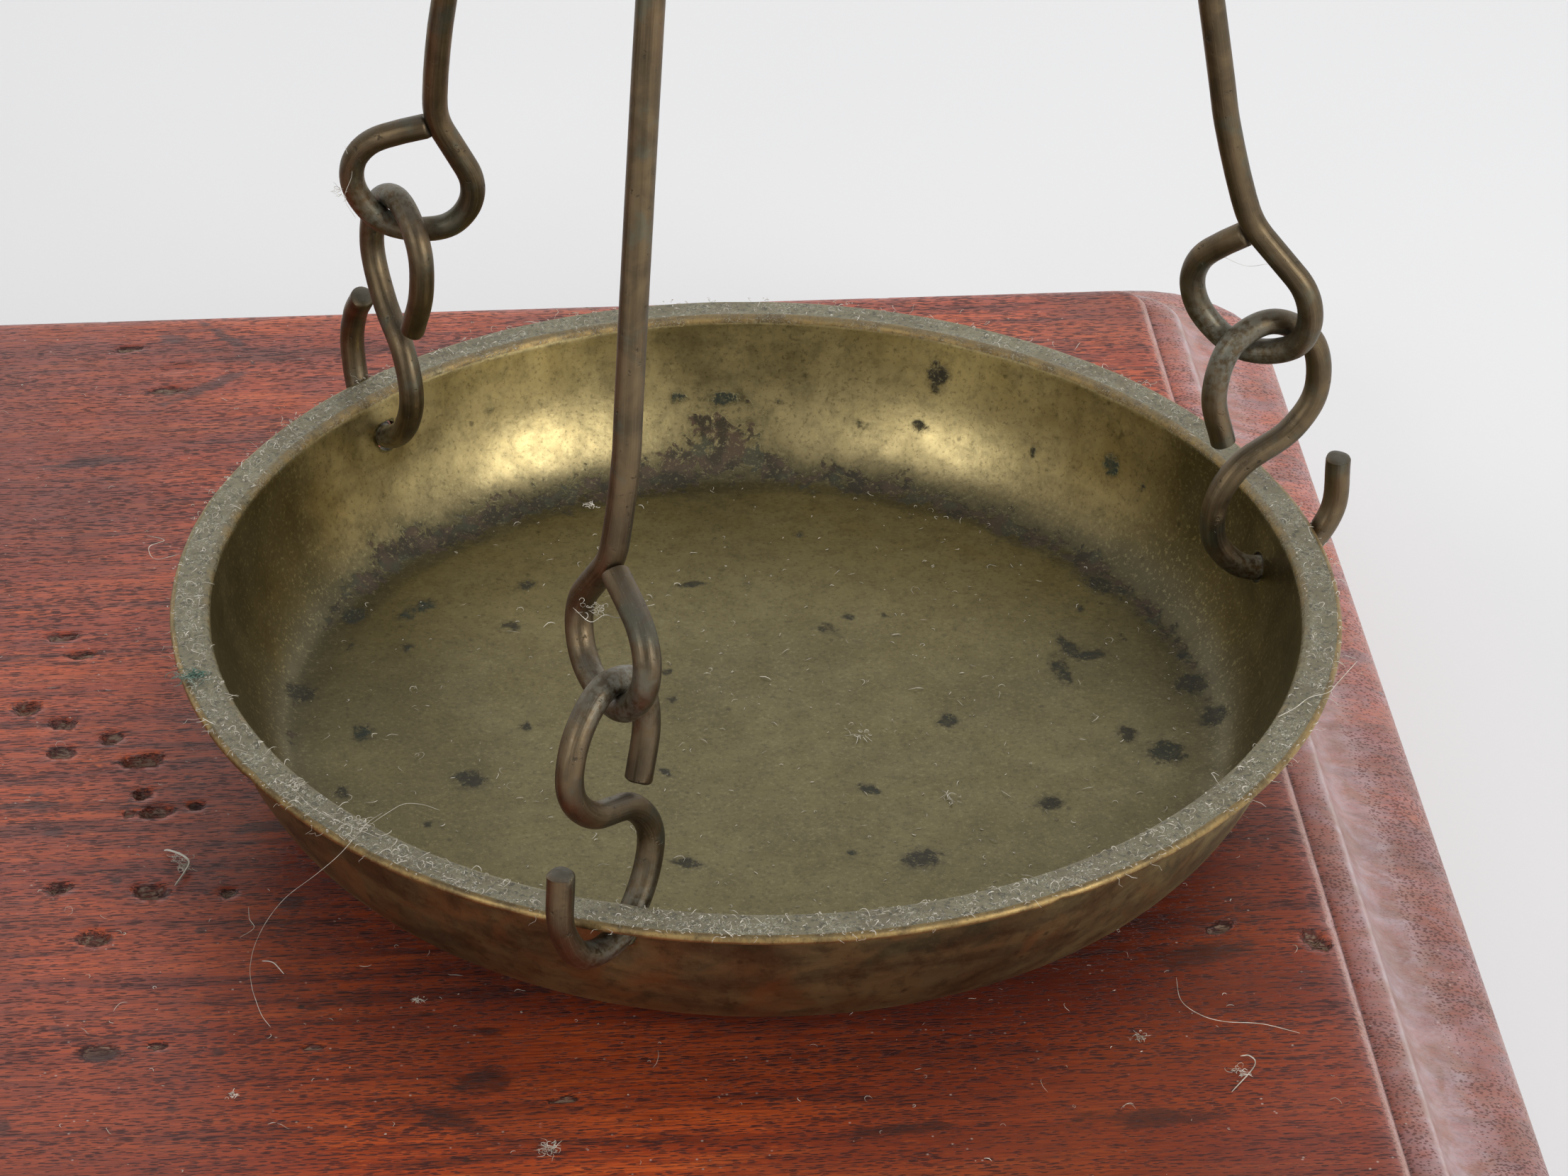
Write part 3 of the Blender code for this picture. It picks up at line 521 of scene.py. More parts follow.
def wood_look():
    """Polished mahogany, grain along X: ribbons of colour, short dark pores, a pale film partly of wax and
    dust and partly painted sheen, painted highlights on the arrises, painted shade in the groove and beside
    the pan, dents and dust.
    """
    look = Look("mahogany_polished")
    ribbon = look.noise((120.0, 7.0, 9.0), 3.0, 0.55, 0.4)
    figure = look.noise((38.0, 2.2, 2.6), 4.0, 0.6, 0.8)
    fibre = look.noise((7.0, 0.28, 0.28), 3.0, 0.65, 0.2)
    patch = look.noise(46.0, 3.0, 0.5)
    colour = look.ramp(ribbon, [(0.3, (0.285, 0.041, 0.013)), (0.46, (0.44, 0.064, 0.016)),
                                (0.58, (0.56, 0.094, 0.02)), (0.75, (0.39, 0.059, 0.016))])
    colour = colour.tint(figure.span(0.5, 0.7, 0.0, 0.85), (0.12, 0.024, 0.012))
    colour = colour.tint(figure.span(0.48, 0.28, 0.0, 0.6), (0.68, 0.14, 0.028))
    colour = colour.tint(fibre.span(0.42, 0.62, 0.0, 0.7), (0.15, 0.025, 0.012))
    flash = look.noise((2.4, 0.5, 0.5), 3.0, 0.7, 0.3)
    colour = colour.tint(flash.span(0.42, 0.3, 0.0, 0.5), (0.74, 0.16, 0.034))
    colour = colour.tint(patch.span(0.42, 0.66, 0.0, 0.55), (0.125, 0.029, 0.019))
    # painted shade: the wood is darkened to the right of the pan and towards the front
    colour = colour.tint(look.field("shade"), (0.13, 0.024, 0.012))
    # pores: short dark dashes along the grain, dots where the end grain shows
    drift = look.noise((26.0, 6.0, 6.0), 3.0, 0.6, 0.5)
    streak = look.noise((1.9, 0.13, 0.13), 3.0, 0.6, 0.2)
    crowd = drift.span(0.3, 0.7, 0.2, 0.42)
    long_pores = (figure.span(0.35, 0.66, 0.14, 0.36) - look.cells((2.7, 0.31, 0.31))).span(-0.03, 0.05)
    pores = (crowd - look.cells((1.25, 0.24, 0.24))).span(-0.03, 0.06).most(long_pores)
    pores = pores.most(streak.span(0.58, 0.65, 0.0, 0.9))
    moulded = look.field("film_and_sheen").span(0.18, 0.25)
    dots = (crowd - look.cells((0.42, 0.28, 0.28))).span(-0.1, 0.05, 0.0, 0.7)
    pores = pores * (1.0 - moulded) + dots * moulded
    pores = pores * look.field("film_and_sheen").span(0.58, 0.7, 1.0, 0.15)
    colour = colour.tint(pores * 0.84, (0.036, 0.011, 0.011))
    # bruises, holes with torn fibres, stains
    dent = look.field("dent")
    ragged = dent + look.noise(1.1, 4.0, 0.65) * 1.3 - 0.68
    rim = ragged.span(-0.28, 0.1)
    colour = colour.tint(rim * 0.72, (0.03, 0.014, 0.014))
    torn = look.noise((1.6, 0.3, 0.3), 3.0, 0.7, 0.5)
    inner = ragged.span(0.06, 0.26) * torn.span(0.42, 0.56)
    colour = colour.tint(inner * 0.8, (0.27, 0.185, 0.125))
    blotch = look.noise((3.4, 1.3, 1.3), 5.0, 0.7, 0.5)
    stain = (look.field("stain") + blotch * 2.4 - 1.35).span(-0.15, 0.4)
    colour = colour.tint(stain * 0.72, (0.046, 0.017, 0.014))
    speck = look.cells(5.5).span(0.085, 0.035)
    colour = colour.tint(speck * look.noise(9.0, 2.0).span(0.45, 0.6), (0.045, 0.018, 0.014))
    # paler arrises, partly worn and partly painted highlight lines, and settled dust
    edge_wear_and_highlight = (look.field("arris") + look.noise(2.5, 4.0) * 0.7 - 0.35).span(0.25, 0.75)
    colour = colour.tint(edge_wear_and_highlight * 0.45, (0.5, 0.26, 0.19))
    # painted shade: the narrow quirk groove is darkened
    groove_shade = (look.field("groove") + look.noise(3.0, 4.0) * 0.6 - 0.3).span(0.2, 0.8)
    colour = colour.tint(groove_shade * 0.55, (0.03, 0.012, 0.012))
    # a pale film over the moulding, partly wax and dust and partly painted sheen, and a faint painted sheen
    # over the top towards the left and the back
    film = look.field("film_and_sheen") * look.noise(2.2, 5.0, 0.7, 0.5).span(0.25, 0.75, 0.55, 1.1)
    film = film * pores.span(0.0, 1.0, 1.0, 0.06)
    sheen_veil = look.mix(look.noise(5.0, 4.0, 0.6, 1.0).span(0.38, 0.62), (0.47, 0.38, 0.4), (0.36, 0.265, 0.235))
    colour = colour.tint(film, sheen_veil)
    lint = look.cells(1.3).span(0.12, 0.05) * look.noise(4.0, 3.0).span(0.5, 0.6)
    lint = lint * look.facing_up().span(0.5, 0.95)
    colour = colour.tint(lint * 0.6, (0.52, 0.42, 0.36))
    smear = look.noise(18.0, 4.0, 0.55, 1.0)
    rough = smear.span(0.3, 0.7, 0.28, 0.42) + pores * 0.2 + rim * 0.25
    height = pores * -1.0 + fibre * 0.45 + look.noise(6.0, 3.0) * 0.8
    normal = look.bump(height, 0.05)
    normal = look.bump(torn * rim, 0.35, normal)
    return look.done(colour, rough, 0.0, normal, Specular_IOR_Level=0.42, Coat_Weight=0.22,
                     Coat_Roughness=0.24, Coat_IOR=1.5)


def dust_mask(look, size, low, high):
    """Fine lint that lies on surfaces facing up."""
    flecks = look.noise(size, 4.0, 0.75, 1.5).span(low, high)
    patches = look.noise(size * 14.0, 3.0, 0.6).span(0.35, 0.7, 0.25, 1.0)
    return flecks * patches * look.facing_up().span(0.3, 0.9)


def pan_look():
    """Old sheet brass: olive floor, painted lighter towards the back, a wall painted lit at the back and
    shaded at the sides, dusty flange, worn rim with a painted highlight, painted shade where the floor turns
    up, brown and green spots.
    """
    look = Look("brass_pan_aged")
    mottle = look.noise(1.6, 5.0, 0.65)
    cloudy = look.noise(13.0, 4.0, 0.6, 0.6)
    floor = look.mix(cloudy.span(0.35, 0.68), (0.3, 0.25, 0.11), (0.235, 0.195, 0.085))
    # painted light: the floor is lighter towards the back
    floor = floor.tint(look.field("back"), (0.43, 0.355, 0.155))
    floor = floor.tint(mottle.span(0.4, 0.7, 0.0, 0.45), (0.18, 0.145, 0.065))
    # painted light and shade: a lit copy of the wall at the back and a shaded copy at the sides
    lit_wall = look.mix(cloudy.span(0.3, 0.7), (0.58, 0.46, 0.215), (0.42, 0.33, 0.15))
    shaded_wall = look.mix(cloudy.span(0.3, 0.7), (0.175, 0.14, 0.066), (0.125, 0.1, 0.047))
    wall = shaded_wall.tint((look.field("back_wall_light") + (cloudy - 0.5) * 1.2).span(0.2, 0.8), lit_wall)
    wall = wall.tint(mottle.span(0.4, 0.72, 0.0, 0.5), (0.2, 0.165, 0.08))
    flange = look.mix(cloudy.span(0.3, 0.7), (0.3, 0.265, 0.155), (0.215, 0.185, 0.105))
    flange = flange.tint(look.noise(7.0, 4.0, 0.6, 0.6).span(0.52, 0.66, 0.0, 0.5), (0.18, 0.115, 0.06))
    flange = flange.tint(look.noise(0.62, 4.0, 0.75).span(0.53, 0.6, 0.0, 0.9), (0.052, 0.045, 0.03))
    banded = look.noise((16.0, 16.0, 5.0), 4.0, 0.6, 1.0)
    outside = look.mix(banded.span(0.35, 0.68), (0.33, 0.285, 0.135), (0.165, 0.14, 0.075))
    outside = outside.tint(mottle.span(0.45, 0.72, 0.0, 0.6), (0.085, 0.068, 0.04))
    outside = outside.tint(look.noise(9.0, 4.0, 0.6, 0.8).span(0.54, 0.68, 0.0, 0.6), (0.38, 0.225, 0.095))
    outside = outside.tint(look.noise(6.0, 4.0, 0.6, 0.8).span(0.56, 0.68, 0.0, 0.5), (0.085, 0.11, 0.065))
    edge = look.mix(look.noise(2.6, 4.0, 0.65).span(0.4, 0.66), (0.43, 0.295, 0.12), (0.24, 0.165, 0.075))
    shift = (cloudy - 0.5) * 0.8
    colour = floor.tint((look.field("wall") + shift).span(0.2, 0.75), wall)
    colour = colour.tint(look.field("under").span(0.3, 0.7), outside)
    colour = colour.tint(look.field("flange").span(0.35, 0.65), flange)
    # paler gold along the rim's edge: worn brass, with a painted highlight, strongest at the front of the
    # outer edge and at the back of the lip
    worn = (look.field("edge") + look.noise(3.4, 4.0, 0.6) * 0.9 - 0.45).span(0.25, 0.55)
    colour = colour.tint(worn, edge)
    # painted shade in the corner where the floor turns up into the wall, deepest at the sides
    colour = colour.tint(look.field("shade"), (0.085, 0.07, 0.036))
    # corrosion: an uneven brown ring where the floor turns up, and scattered spots
    crumb = look.noise(1.1, 5.0, 0.7, 0.6)
    lump = look.noise(2.9, 3.0, 0.6, 0.5)
    ring = look.field("ring") + crumb * 2.0 + lump * 2.8 - 2.42
    ring_core = ring.span(0.0, 0.32)
    ring_halo = ring.span(-0.55, 0.15, 0.0, 0.42)
    colour = colour.tint(ring_halo, (0.115, 0.105, 0.05))
    rust = look.mix(look.noise(1.6, 3.0).span(0.42, 0.58), (0.05, 0.038, 0.03), (0.12, 0.078, 0.055))
    rust = rust.tint(look.noise(3.1, 3.0).span(0.54, 0.62, 0.0, 0.7), (0.085, 0.095, 0.062))
    colour = colour.tint(ring_core * 0.9, rust)
    spot = look.field("spot") + look.noise(0.95, 5.0, 0.7, 0.4) * 2.0 - 1.05
    spot_core = spot.span(-0.05, 0.35) * look.noise(0.8, 3.0).span(0.3, 0.6, 0.75, 1.0)
    colour = colour.tint(spot.span(-0.45, 0.1, 0.0, 0.5), (0.12, 0.105, 0.055))
    stain = look.mix(look.field("green"), (0.05, 0.041, 0.032), (0.032, 0.052, 0.045))
    colour = colour.tint(spot_core * 0.93, stain)
    # a great many small brown freckles
    freckle = look.cells(2.4).span(0.17, 0.05)
    freckle = freckle * look.noise(8.0, 3.0).span(0.46, 0.6)
    colour = colour.tint(freckle * 0.6, (0.07, 0.055, 0.03))
    grit = look.noise(0.42, 4.0, 0.75)
    inside = look.field("under").span(0.3, 0.7, 1.0, 0.3)
    colour = colour.tint(grit.span(0.53, 0.66, 0.0, 0.5) * inside, (0.1, 0.085, 0.042))
    colour = colour.tint(grit.span(0.46, 0.34, 0.0, 0.5) * inside, (0.46, 0.4, 0.2))
    dust = dust_mask(look, 0.45, 0.6, 0.72)
    extra = look.field("flange") * look.noise(0.42, 4.0, 0.8, 2.5).span(0.51, 0.6)
    extra = extra * look.noise(2.6, 4.0, 0.6).span(0.38, 0.58, 0.25, 1.0)
    dust = (dust * 0.35).most(extra * 0.95)
    film = look.facing_up().span(0.4, 1.0) * look.field("flange").span(0.0, 1.0, 0.08, 0.26)
    dust = dust.most(film)
    colour = colour.tint(dust, (0.56, 0.54, 0.44))
    tarnish = ring_core.most(spot_core)
    rough = look.noise(5.0, 4.0, 0.6).span(0.3, 0.7, 0.33, 0.46) + look.field("flange") * 0.14
    rough = rough + tarnish * 0.25 + look.field("edge") * 0.14 + look.field("under") * 0.12
    metal = 1.0 - (dust * 0.75).most(tarnish * 0.12)
    height = mottle * 0.6 + look.noise(0.5, 3.0) * 0.35 + tarnish * 0.8 + dust * 0.8
    normal = look.bump(height, 0.03)
    normal = look.bump(look.noise(9.0, 2.0), 0.12, normal)
    return look.done(colour, rough, metal, normal)


def wire_look():
    """Brown oxidised brass wire: satin draw lines, green patches, dust on top, duller cut ends."""
    look = Look("brass_wire_oxidised")
    unrolled = look.add("ShaderNodeCombineXYZ")
    look.feed(unrolled.inputs[0], look.field("along"))
    look.feed(unrolled.inputs[1], look.field("around"))
    lines = look.add("ShaderNodeMapping")
    look.feed(lines.inputs["Vector"], Value(look, unrolled.outputs[0]))
    lines.inputs["Scale"].default_value = (0.12, 7.0, 1.0)
    drawn = look.noise(1.0, 3.0, 0.6, 0.0, Value(look, lines.outputs[0]))
    blotch = look.noise(3.5, 4.0, 0.6, 0.5)
    grain = look.noise(0.5, 4.0, 0.7)
    colour = look.mix(blotch.span(0.34, 0.66), (0.175, 0.125, 0.07), (0.105, 0.078, 0.047))
    colour = colour.tint(drawn.span(0.45, 0.8, 0.0, 0.5), (0.25, 0.185, 0.1))
    colour = colour.tint(look.noise(9.0, 3.0).span(0.55, 0.7, 0.0, 0.5), (0.24, 0.155, 0.085))
    pits = look.noise(0.9, 4.0, 0.65).span(0.62, 0.72)
    colour = colour.tint(pits * 0.6, (0.045, 0.042, 0.034))
    green = look.noise(4.2, 4.0, 0.6).span(0.52, 0.66) * 0.5
    colour = colour.tint(green, (0.12, 0.135, 0.105))
    worn = look.field("worn") * look.noise(0.7, 4.0, 0.7).span(0.36, 0.6)
    colour = colour.tint(worn * 0.7, (0.2, 0.205, 0.165))
    ends = look.field("cut_end")
    colour = colour.tint(ends * 0.6, (0.11, 0.105, 0.08))
    dust = look.noise(0.34, 4.0, 0.8, 1.5).span(0.56, 0.7) * look.facing_up().span(0.15, 0.9, 0.0, 0.42)
    film = look.facing_up().span(0.55, 1.0) * blotch.span(0.3, 0.6, 0.06, 0.22)
    dust = dust.most(film)
    colour = colour.tint(dust, (0.42, 0.4, 0.35))
    rough = drawn.span(0.3, 0.7, 0.38, 0.5) + ends * 0.15 + pits * 0.15
    metal = 1.0 - (dust * 0.8).most(worn * 0.6)
    height = drawn * 0.5 + grain * 0.6 + pits * -1.0 + look.noise(2.2, 2.0) * 1.2
    return look.done(colour, rough, metal, look.bump(height, 0.03))


def brass_look():
    """Turned or filed brass with old lacquer gone patchy: turning lines, brown in hollows, dust on ledges."""
    look = Look("brass_turned_aged")
    light, dark = (0.46, 0.335, 0.135), (0.24, 0.165, 0.07)
    cloudy = look.noise(11.0, 4.0, 0.6, 0.8)
    mottle = look.noise(1.5, 5.0, 0.65)
    turned = look.noise((40.0, 40.0, 0.3), 3.0, 0.6, 0.0)
    colour = look.mix(cloudy.span(0.34, 0.66), light, dark)
    colour = colour.tint(mottle.span(0.45, 0.75, 0.0, 0.5), tuple(c * 0.5 for c in dark))
    bead = look.surface("Pointiness")
    colour = colour.tint(bead.span(0.52, 0.58, 0.0, 0.6), tuple(c * 1.5 for c in light))
    colour = colour.tint(bead.span(0.485, 0.44, 0.0, 0.7), (0.07, 0.05, 0.028))
    spots = look.cells(4.2).span(0.16, 0.05) * look.noise(10.0, 3.0).span(0.5, 0.62)
    colour = colour.tint(spots * 0.75, (0.045, 0.036, 0.026))
    dust = (dust_mask(look, 0.5, 0.54, 0.7) * 0.4).most(look.facing_up().span(0.6, 1.0) * 0.1)
    colour = colour.tint(dust, (0.48, 0.46, 0.38))
    rough = look.noise(4.0, 4.0, 0.6).span(0.3, 0.7, 0.24, 0.38) + spots * 0.25 + dust * 0.4
    metal = 1.0 - dust.most(spots) * 0.75
    height = turned * 0.7 + mottle * 0.6
    normal = look.bump(look.noise(8.0, 2.0), 0.08, look.bump(height, 0.012))
    return look.done(colour, rough, metal, normal)


def steel_look():
    """Hard steel of knives, bearings and screws: grey, ground, with brown rust in places."""
    look = Look("steel_ground")
    ground = look.noise((0.35, 9.0, 0.35), 3.0, 0.6, 0.0)
    rust = look.noise(2.4, 5.0, 0.7).span(0.54, 0.66)
    colour = look.mix(ground.span(0.35, 0.7), (0.44, 0.43, 0.42), (0.3, 0.295, 0.29))
    colour = colour.tint(rust * 0.7, (0.13, 0.065, 0.035))
    rough = ground.span(0.3, 0.7, 0.24, 0.36) + rust * 0.3
    metal = 1.0 - rust * 0.7
    return look.done(colour, rough, metal, look.bump(ground + rust, 0.015))


def fibre_look(name, colour, dark):
    """Lint: matt, slightly uneven in colour."""
    look = Look(name)
    mixed = look.mix(look.noise(1.2, 3.0).span(0.35, 0.65), colour, dark)
    return look.done(mixed, 0.9, 0.0, look.bump(look.noise(0.2, 2.0), 0.01))


def paper_look():
    """Plain pale floor with the faintest unevenness."""
    look = Look("pale_floor")
    shade = look.mix(look.noise(140.0, 3.0).span(0.3, 0.7), (0.8, 0.8, 0.805), (0.785, 0.785, 0.79))
    return look.done(shade, 0.9, 0.0, look.bump(look.noise(1.2, 3.0), 0.02), Specular_IOR_Level=0.15)


WOOD = wood_look()
PAN_BRASS = pan_look()
WIRE_BRASS = wire_look()
BRASS = brass_look()
STEEL = steel_look()
LINT = fibre_look("lint_pale", (0.70, 0.66, 0.57), (0.44, 0.40, 0.32))
LINT_GREEN = fibre_look("lint_green", (0.10, 0.17, 0.13), (0.30, 0.33, 0.27))
FLOOR = paper_look()


# ---------------------------------------------------------------- base

ARRIS_HALF = (165.9, 91.2)
ARRIS_RADIUS = 3.0
BOARD_THICK, MOULDING = 20.0, 15.5
DEPTH_SHARE = (BOARD_HIGH[1] - ARRIS_HALF[1]) / MOULDING
# Moulded edge from the top arris: (how far out, how far down)
ROUNDED_ARRIS = [(-2.2, 0.0), (-1.4, 0.03), (-0.8, 0.12), (-0.35, 0.32), (-0.02, 0.62), (0.24, 0.98)]
QUIRK = [(0.34, 1.4), (0.42, 1.9), (0.50, 2.35), (0.62, 2.62), (0.80, 2.72), (1.05, 2.66)]
OGEE = [(1.5, 2.62), (2.2, 2.66), (3.0, 2.78), (3.6, 2.95), (4.05, 3.15), (4.4, 3.5), (4.6, 3.95),
        (4.85, 4.55), (5.3, 5.15), (6.0, 5.75), (6.9, 6.2), (7.9, 6.45), (8.7, 6.6), (9.6, 6.85),
        (11.2, 7.15), (12.8, 7.5), (14.0, 7.95), (14.9, 8.6), (15.3, 9.5), (15.4, 11.0), (15.3, 13.0)]
FILLET = [(15.3, 15.2), (15.35, 15.4), (15.45, 15.7), (15.5, 16.4), (15.5, 17.8), (15.5, 19.2), (15.35, 19.7),
          (14.9, 20.0), (12.0, 20.0), (4.0, 20.0)]
# Bruises in the top, from the right pan's centre: along, across, half length, half width, depth, turn
BRUISES = [(-70.0, 14.5, 1.7, 1.2, 0.9, 10), (-66.5, 11.6, 1.7, 1.0, 0.9, -15),
           (-61.7, 8.9, 1.7, 1.0, 0.8, 0), (-66.7, 6.6, 1.9, 1.1, 0.7, 12), (-58.8, 4.7, 3.1, 1.2, 0.9, 5),
           (-58.7, -0.8, 1.6, 0.9, 0.8, -8), (-57.3, -3.9, 2.4, 1.0, 0.8, 8), (-53.6, -3.2, 1.0, 0.6, 0.5, 0),
           (-67.0, 27.0, 2.3, 0.6, 0.5, 0), (-65.0, 23.6, 2.1, 0.6, 0.5, 4), (-66.0, -15.5, 1.7, 1.1, 0.9, 0),
           (-57.7, -16.6, 2.2, 1.3, 1.0, -12), (-62.6, -23.4, 2.2, 1.3, 1.0, 8),
           (-61.8, -40.4, 2.6, 1.3, 0.25, -6), (-56.4, -39.8, 1.6, 0.5, 0.4, 4),
           (-50.6, -17.4, 1.2, 0.7, 0.4, 20), (49.2, -31.5, 1.3, 2.0, 0.8, 25),
           (40.5, -29.0, 2.2, 0.8, 0.25, 30), (-43.0, -41.0, 1.7, 0.5, 0.3, 0),
           (-21.0, -50.0, 1.8, 0.6, 0.3, 8), (-60.0, -4.0, 1.0, 0.6, 0.4, 0)]
STAINS = [(-53.4, 75.1, 7.5, 1.1, 38), (-51.0, 86.0, 6.0, 0.9, -52), (-66.0, 60.4, 5.5, 1.3, 8),
          (-57.0, 86.0, 2.2, 1.3, 0), (-31.0, -52.0, 5.0, 1.4, -35), (8.0, -56.0, 7.0, 1.0, 4),
          (38.0, -33.0, 6.0, 2.0, 12), (30.0, -56.0, 8.0, 1.6, 0), (-70.0, -2.0, 5.0, 0.8, 0),
          (-28.0, -47.0, 4.0, 2.2, 10), (44.0, 60.0, 6.0, 1.6, 80), (-61.3, -40.8, 2.2, 1.5, -8),
          (-51.2, -41.2, 1.0, 0.9, 0), (-52.9, -22.9, 0.8, 0.7, 0), (-42.4, -42.5, 1.2, 0.4, 0),
          (-39.7, -46.0, 2.0, 0.5, 3), (-44.5, -19.2, 1.6, 1.4, 35), (-66.8, -6.7, 1.5, 0.8, 0),
          (-68.6, -0.2, 1.1, 0.8, 0), (-53.4, -3.0, 1.5, 0.5, 0), (-60.7, -14.6, 0.8, 0.8, 0),
          (-65.5, -36.7, 1.2, 0.7, -30), (-27.4, -39.9, 1.7, 0.9, -10), (-32.7, -36.9, 1.2, 0.6, 0),
          (-46.6, -7.0, 5.0, 1.3, 6), (-42.8, -35.2, 0.9, 0.6, 0), (-55.3, -49.0, 1.0, 0.5, 0),
          (-33.3, -52.5, 0.9, 0.5, 0), (-69.6, -50.2, 1.2, 1.4, 0)]
# How strongly the wood is hazed along the moulding, partly by a film of wax and dust and partly by painted
# sheen: (how far out, share)
FILM_AND_SHEEN = [(-3.0, 0.0), (-0.5, 0.08), (0.0, 0.50), (0.35, 0.25), (0.6, 0.06), (1.2, 0.24), (2.4, 0.36),
        (3.5, 0.50), (4.2, 0.95), (4.7, 0.72), (5.4, 0.70), (7.0, 0.66), (8.2, 0.66), (9.2, 0.60),
        (10.4, 0.44), (12.0, 0.34), (13.6, 0.34), (14.8, 0.45), (15.5, 0.22)]


def blots(points, marks):
    """Highest of several oval fields: 1 at a mark's middle, 0 at its edge, below 0 outside."""
    best = np.full(len(points), -1.0)
    for mark in marks:
        turn = math.radians(mark[-1])
        dx, dy = points[:, 0] - mark[0], points[:, 1] - mark[1]
        u = dx * math.cos(turn) + dy * math.sin(turn)
        v = -dx * math.sin(turn) + dy * math.cos(turn)
        best = np.maximum(best, 1.0 - np.sqrt((u / mark[2]) ** 2 + (v / mark[3]) ** 2))
    return best


def spaced(stops):
    """Grid lines: (start, end, pitch) runs joined end to end."""
    lines = []
    for start, end, pitch in stops:
        count = max(1, int(round((end - start) / pitch)))
        lines += list(np.linspace(start, end, count, endpoint=False))
    return np.array(lines + [stops[-1][1]])


def board_top():
    """Grid over the flat top, fine where the camera looks: points, faces and the grid of point numbers."""
    inner = (ARRIS_HALF[0] - ARRIS_RADIUS, ARRIS_HALF[1] - ARRIS_RADIUS)
    fine_from = PAN_CENTRE["right"][0] - 80.0
    coarse, fine = 2.4, 0.5
    grid_x = spaced([(-inner[0], fine_from, coarse), (fine_from, inner[0], fine)])
    grid_y = spaced([(-inner[1], -72.0, coarse), (-72.0, inner[1], fine)])
    flat_x, flat_y = np.meshgrid(grid_x, grid_y, indexing="ij")
    top = np.column_stack([flat_x.ravel(), flat_y.ravel(), np.full(flat_x.size, BOARD_TOP)])
    index = np.arange(flat_x.size).reshape(flat_x.shape)
    quads = np.stack([index[:-1, :-1], index[1:, :-1], index[1:, 1:], index[:-1, 1:]], axis=-1)
    return top, quads.reshape(-1, 4).tolist(), index, np.array(inner)


def board_mesh():
    """Top and moulded edge in one mesh, with how sharp each point is (for knocks and painted highlights),
    whether it lies in the quirk groove (for painted shade) and how much pale film of wax, dust and painted
    sheen it gets.
    """
    top, faces, index, inner = board_top()
    # once round the grid's border, with extra places at each corner
    border, ways = [], []
    corner_steps = 8
    runs = [(index[:, -1][::-1], 90.0), (index[0, :][::-1], 180.0), (index[:, 0], 270.0), (index[-1, :], 0.0)]
    for run, way in runs:
        border += list(run)
        ways += [way] * len(run)
        border += [run[-1]] * (corner_steps - 1)
        ways += [way + 90.0 * k / corner_steps for k in range(1, corner_steps)]
    border = np.array(border)
    ways = np.radians(np.array(ways))
    seat = top[border, :2]
    profile = ROUNDED_ARRIS + QUIRK + smooth_flat(OGEE, 3) + FILLET
    loops = [border]
    verts = [top]
    # painted sheen: the top is hazed a little paler towards the left and the back
    film = 0.09 * ease((PAN_CENTRE["right"][0] - top[:, 0]) / 66.0 + top[:, 1] / 72.0, -0.3, 1.2)
    tags = {"arris": [np.zeros(len(top))], "groove": [np.zeros(len(top))], "film_and_sheen": [film]}
    count = len(top)
    for outset, drop in profile:
        # the corners grow rounder down the moulding, but not under the board
        radius = ARRIS_RADIUS
        if drop < BOARD_THICK or outset > 13.0:
            radius += outset if outset < 0 else 0.7 * outset
        outset_y = outset * (DEPTH_SHARE if outset > 0 else 1.0)
        centre = np.array([ARRIS_HALF[0] + outset - radius, ARRIS_HALF[1] + outset_y - radius])
        at = seat * (centre / inner) + radius * np.column_stack([np.cos(ways), np.sin(ways)])
        ring = np.column_stack([at, np.full(len(at), BOARD_TOP - drop)])
        loops.append(np.arange(count, count + len(ring)))
        count += len(ring)
        verts.append(ring)
        # sharp places take knocks and are painted paler as highlight lines: the top arris, the rounded edge
        # below the quirk and the outer bulge of the ovolo
        sharp = max(math.exp(-((outset + 0.2) / 0.35) ** 2) if drop < 1.2 else 0.0,
                    math.exp(-((outset - 4.3) / 0.35) ** 2) if drop < 4.4 else 0.0,
                    math.exp(-((drop - 9.0) / 1.0) ** 2) * 0.4)
        tags["arris"].append(np.full(len(ring), sharp))
        # the quirk groove, which the wood look darkens as painted shade
        tags["groove"].append(np.full(len(ring), 1.0 if 0.40 < outset < 0.85 and drop < 3.2 else 0.0))
        tags["film_and_sheen"].append(np.maximum(film[border], np.interp(outset, *zip(*FILM_AND_SHEEN)) if drop < 19.0 else 0.0))
    for upper, lower in zip(loops, loops[1:]):
        quads = np.stack([upper, np.roll(upper, -1), np.roll(lower, -1), lower], axis=1)
        flat = upper == np.roll(upper, -1)
        faces += quads[~flat].tolist()
        faces += quads[flat][:, [0, 2, 3]].tolist()
    faces.append(loops[-1].tolist())
    return np.vstack(verts), faces, {name: np.concatenate(runs) for name, runs in tags.items()}


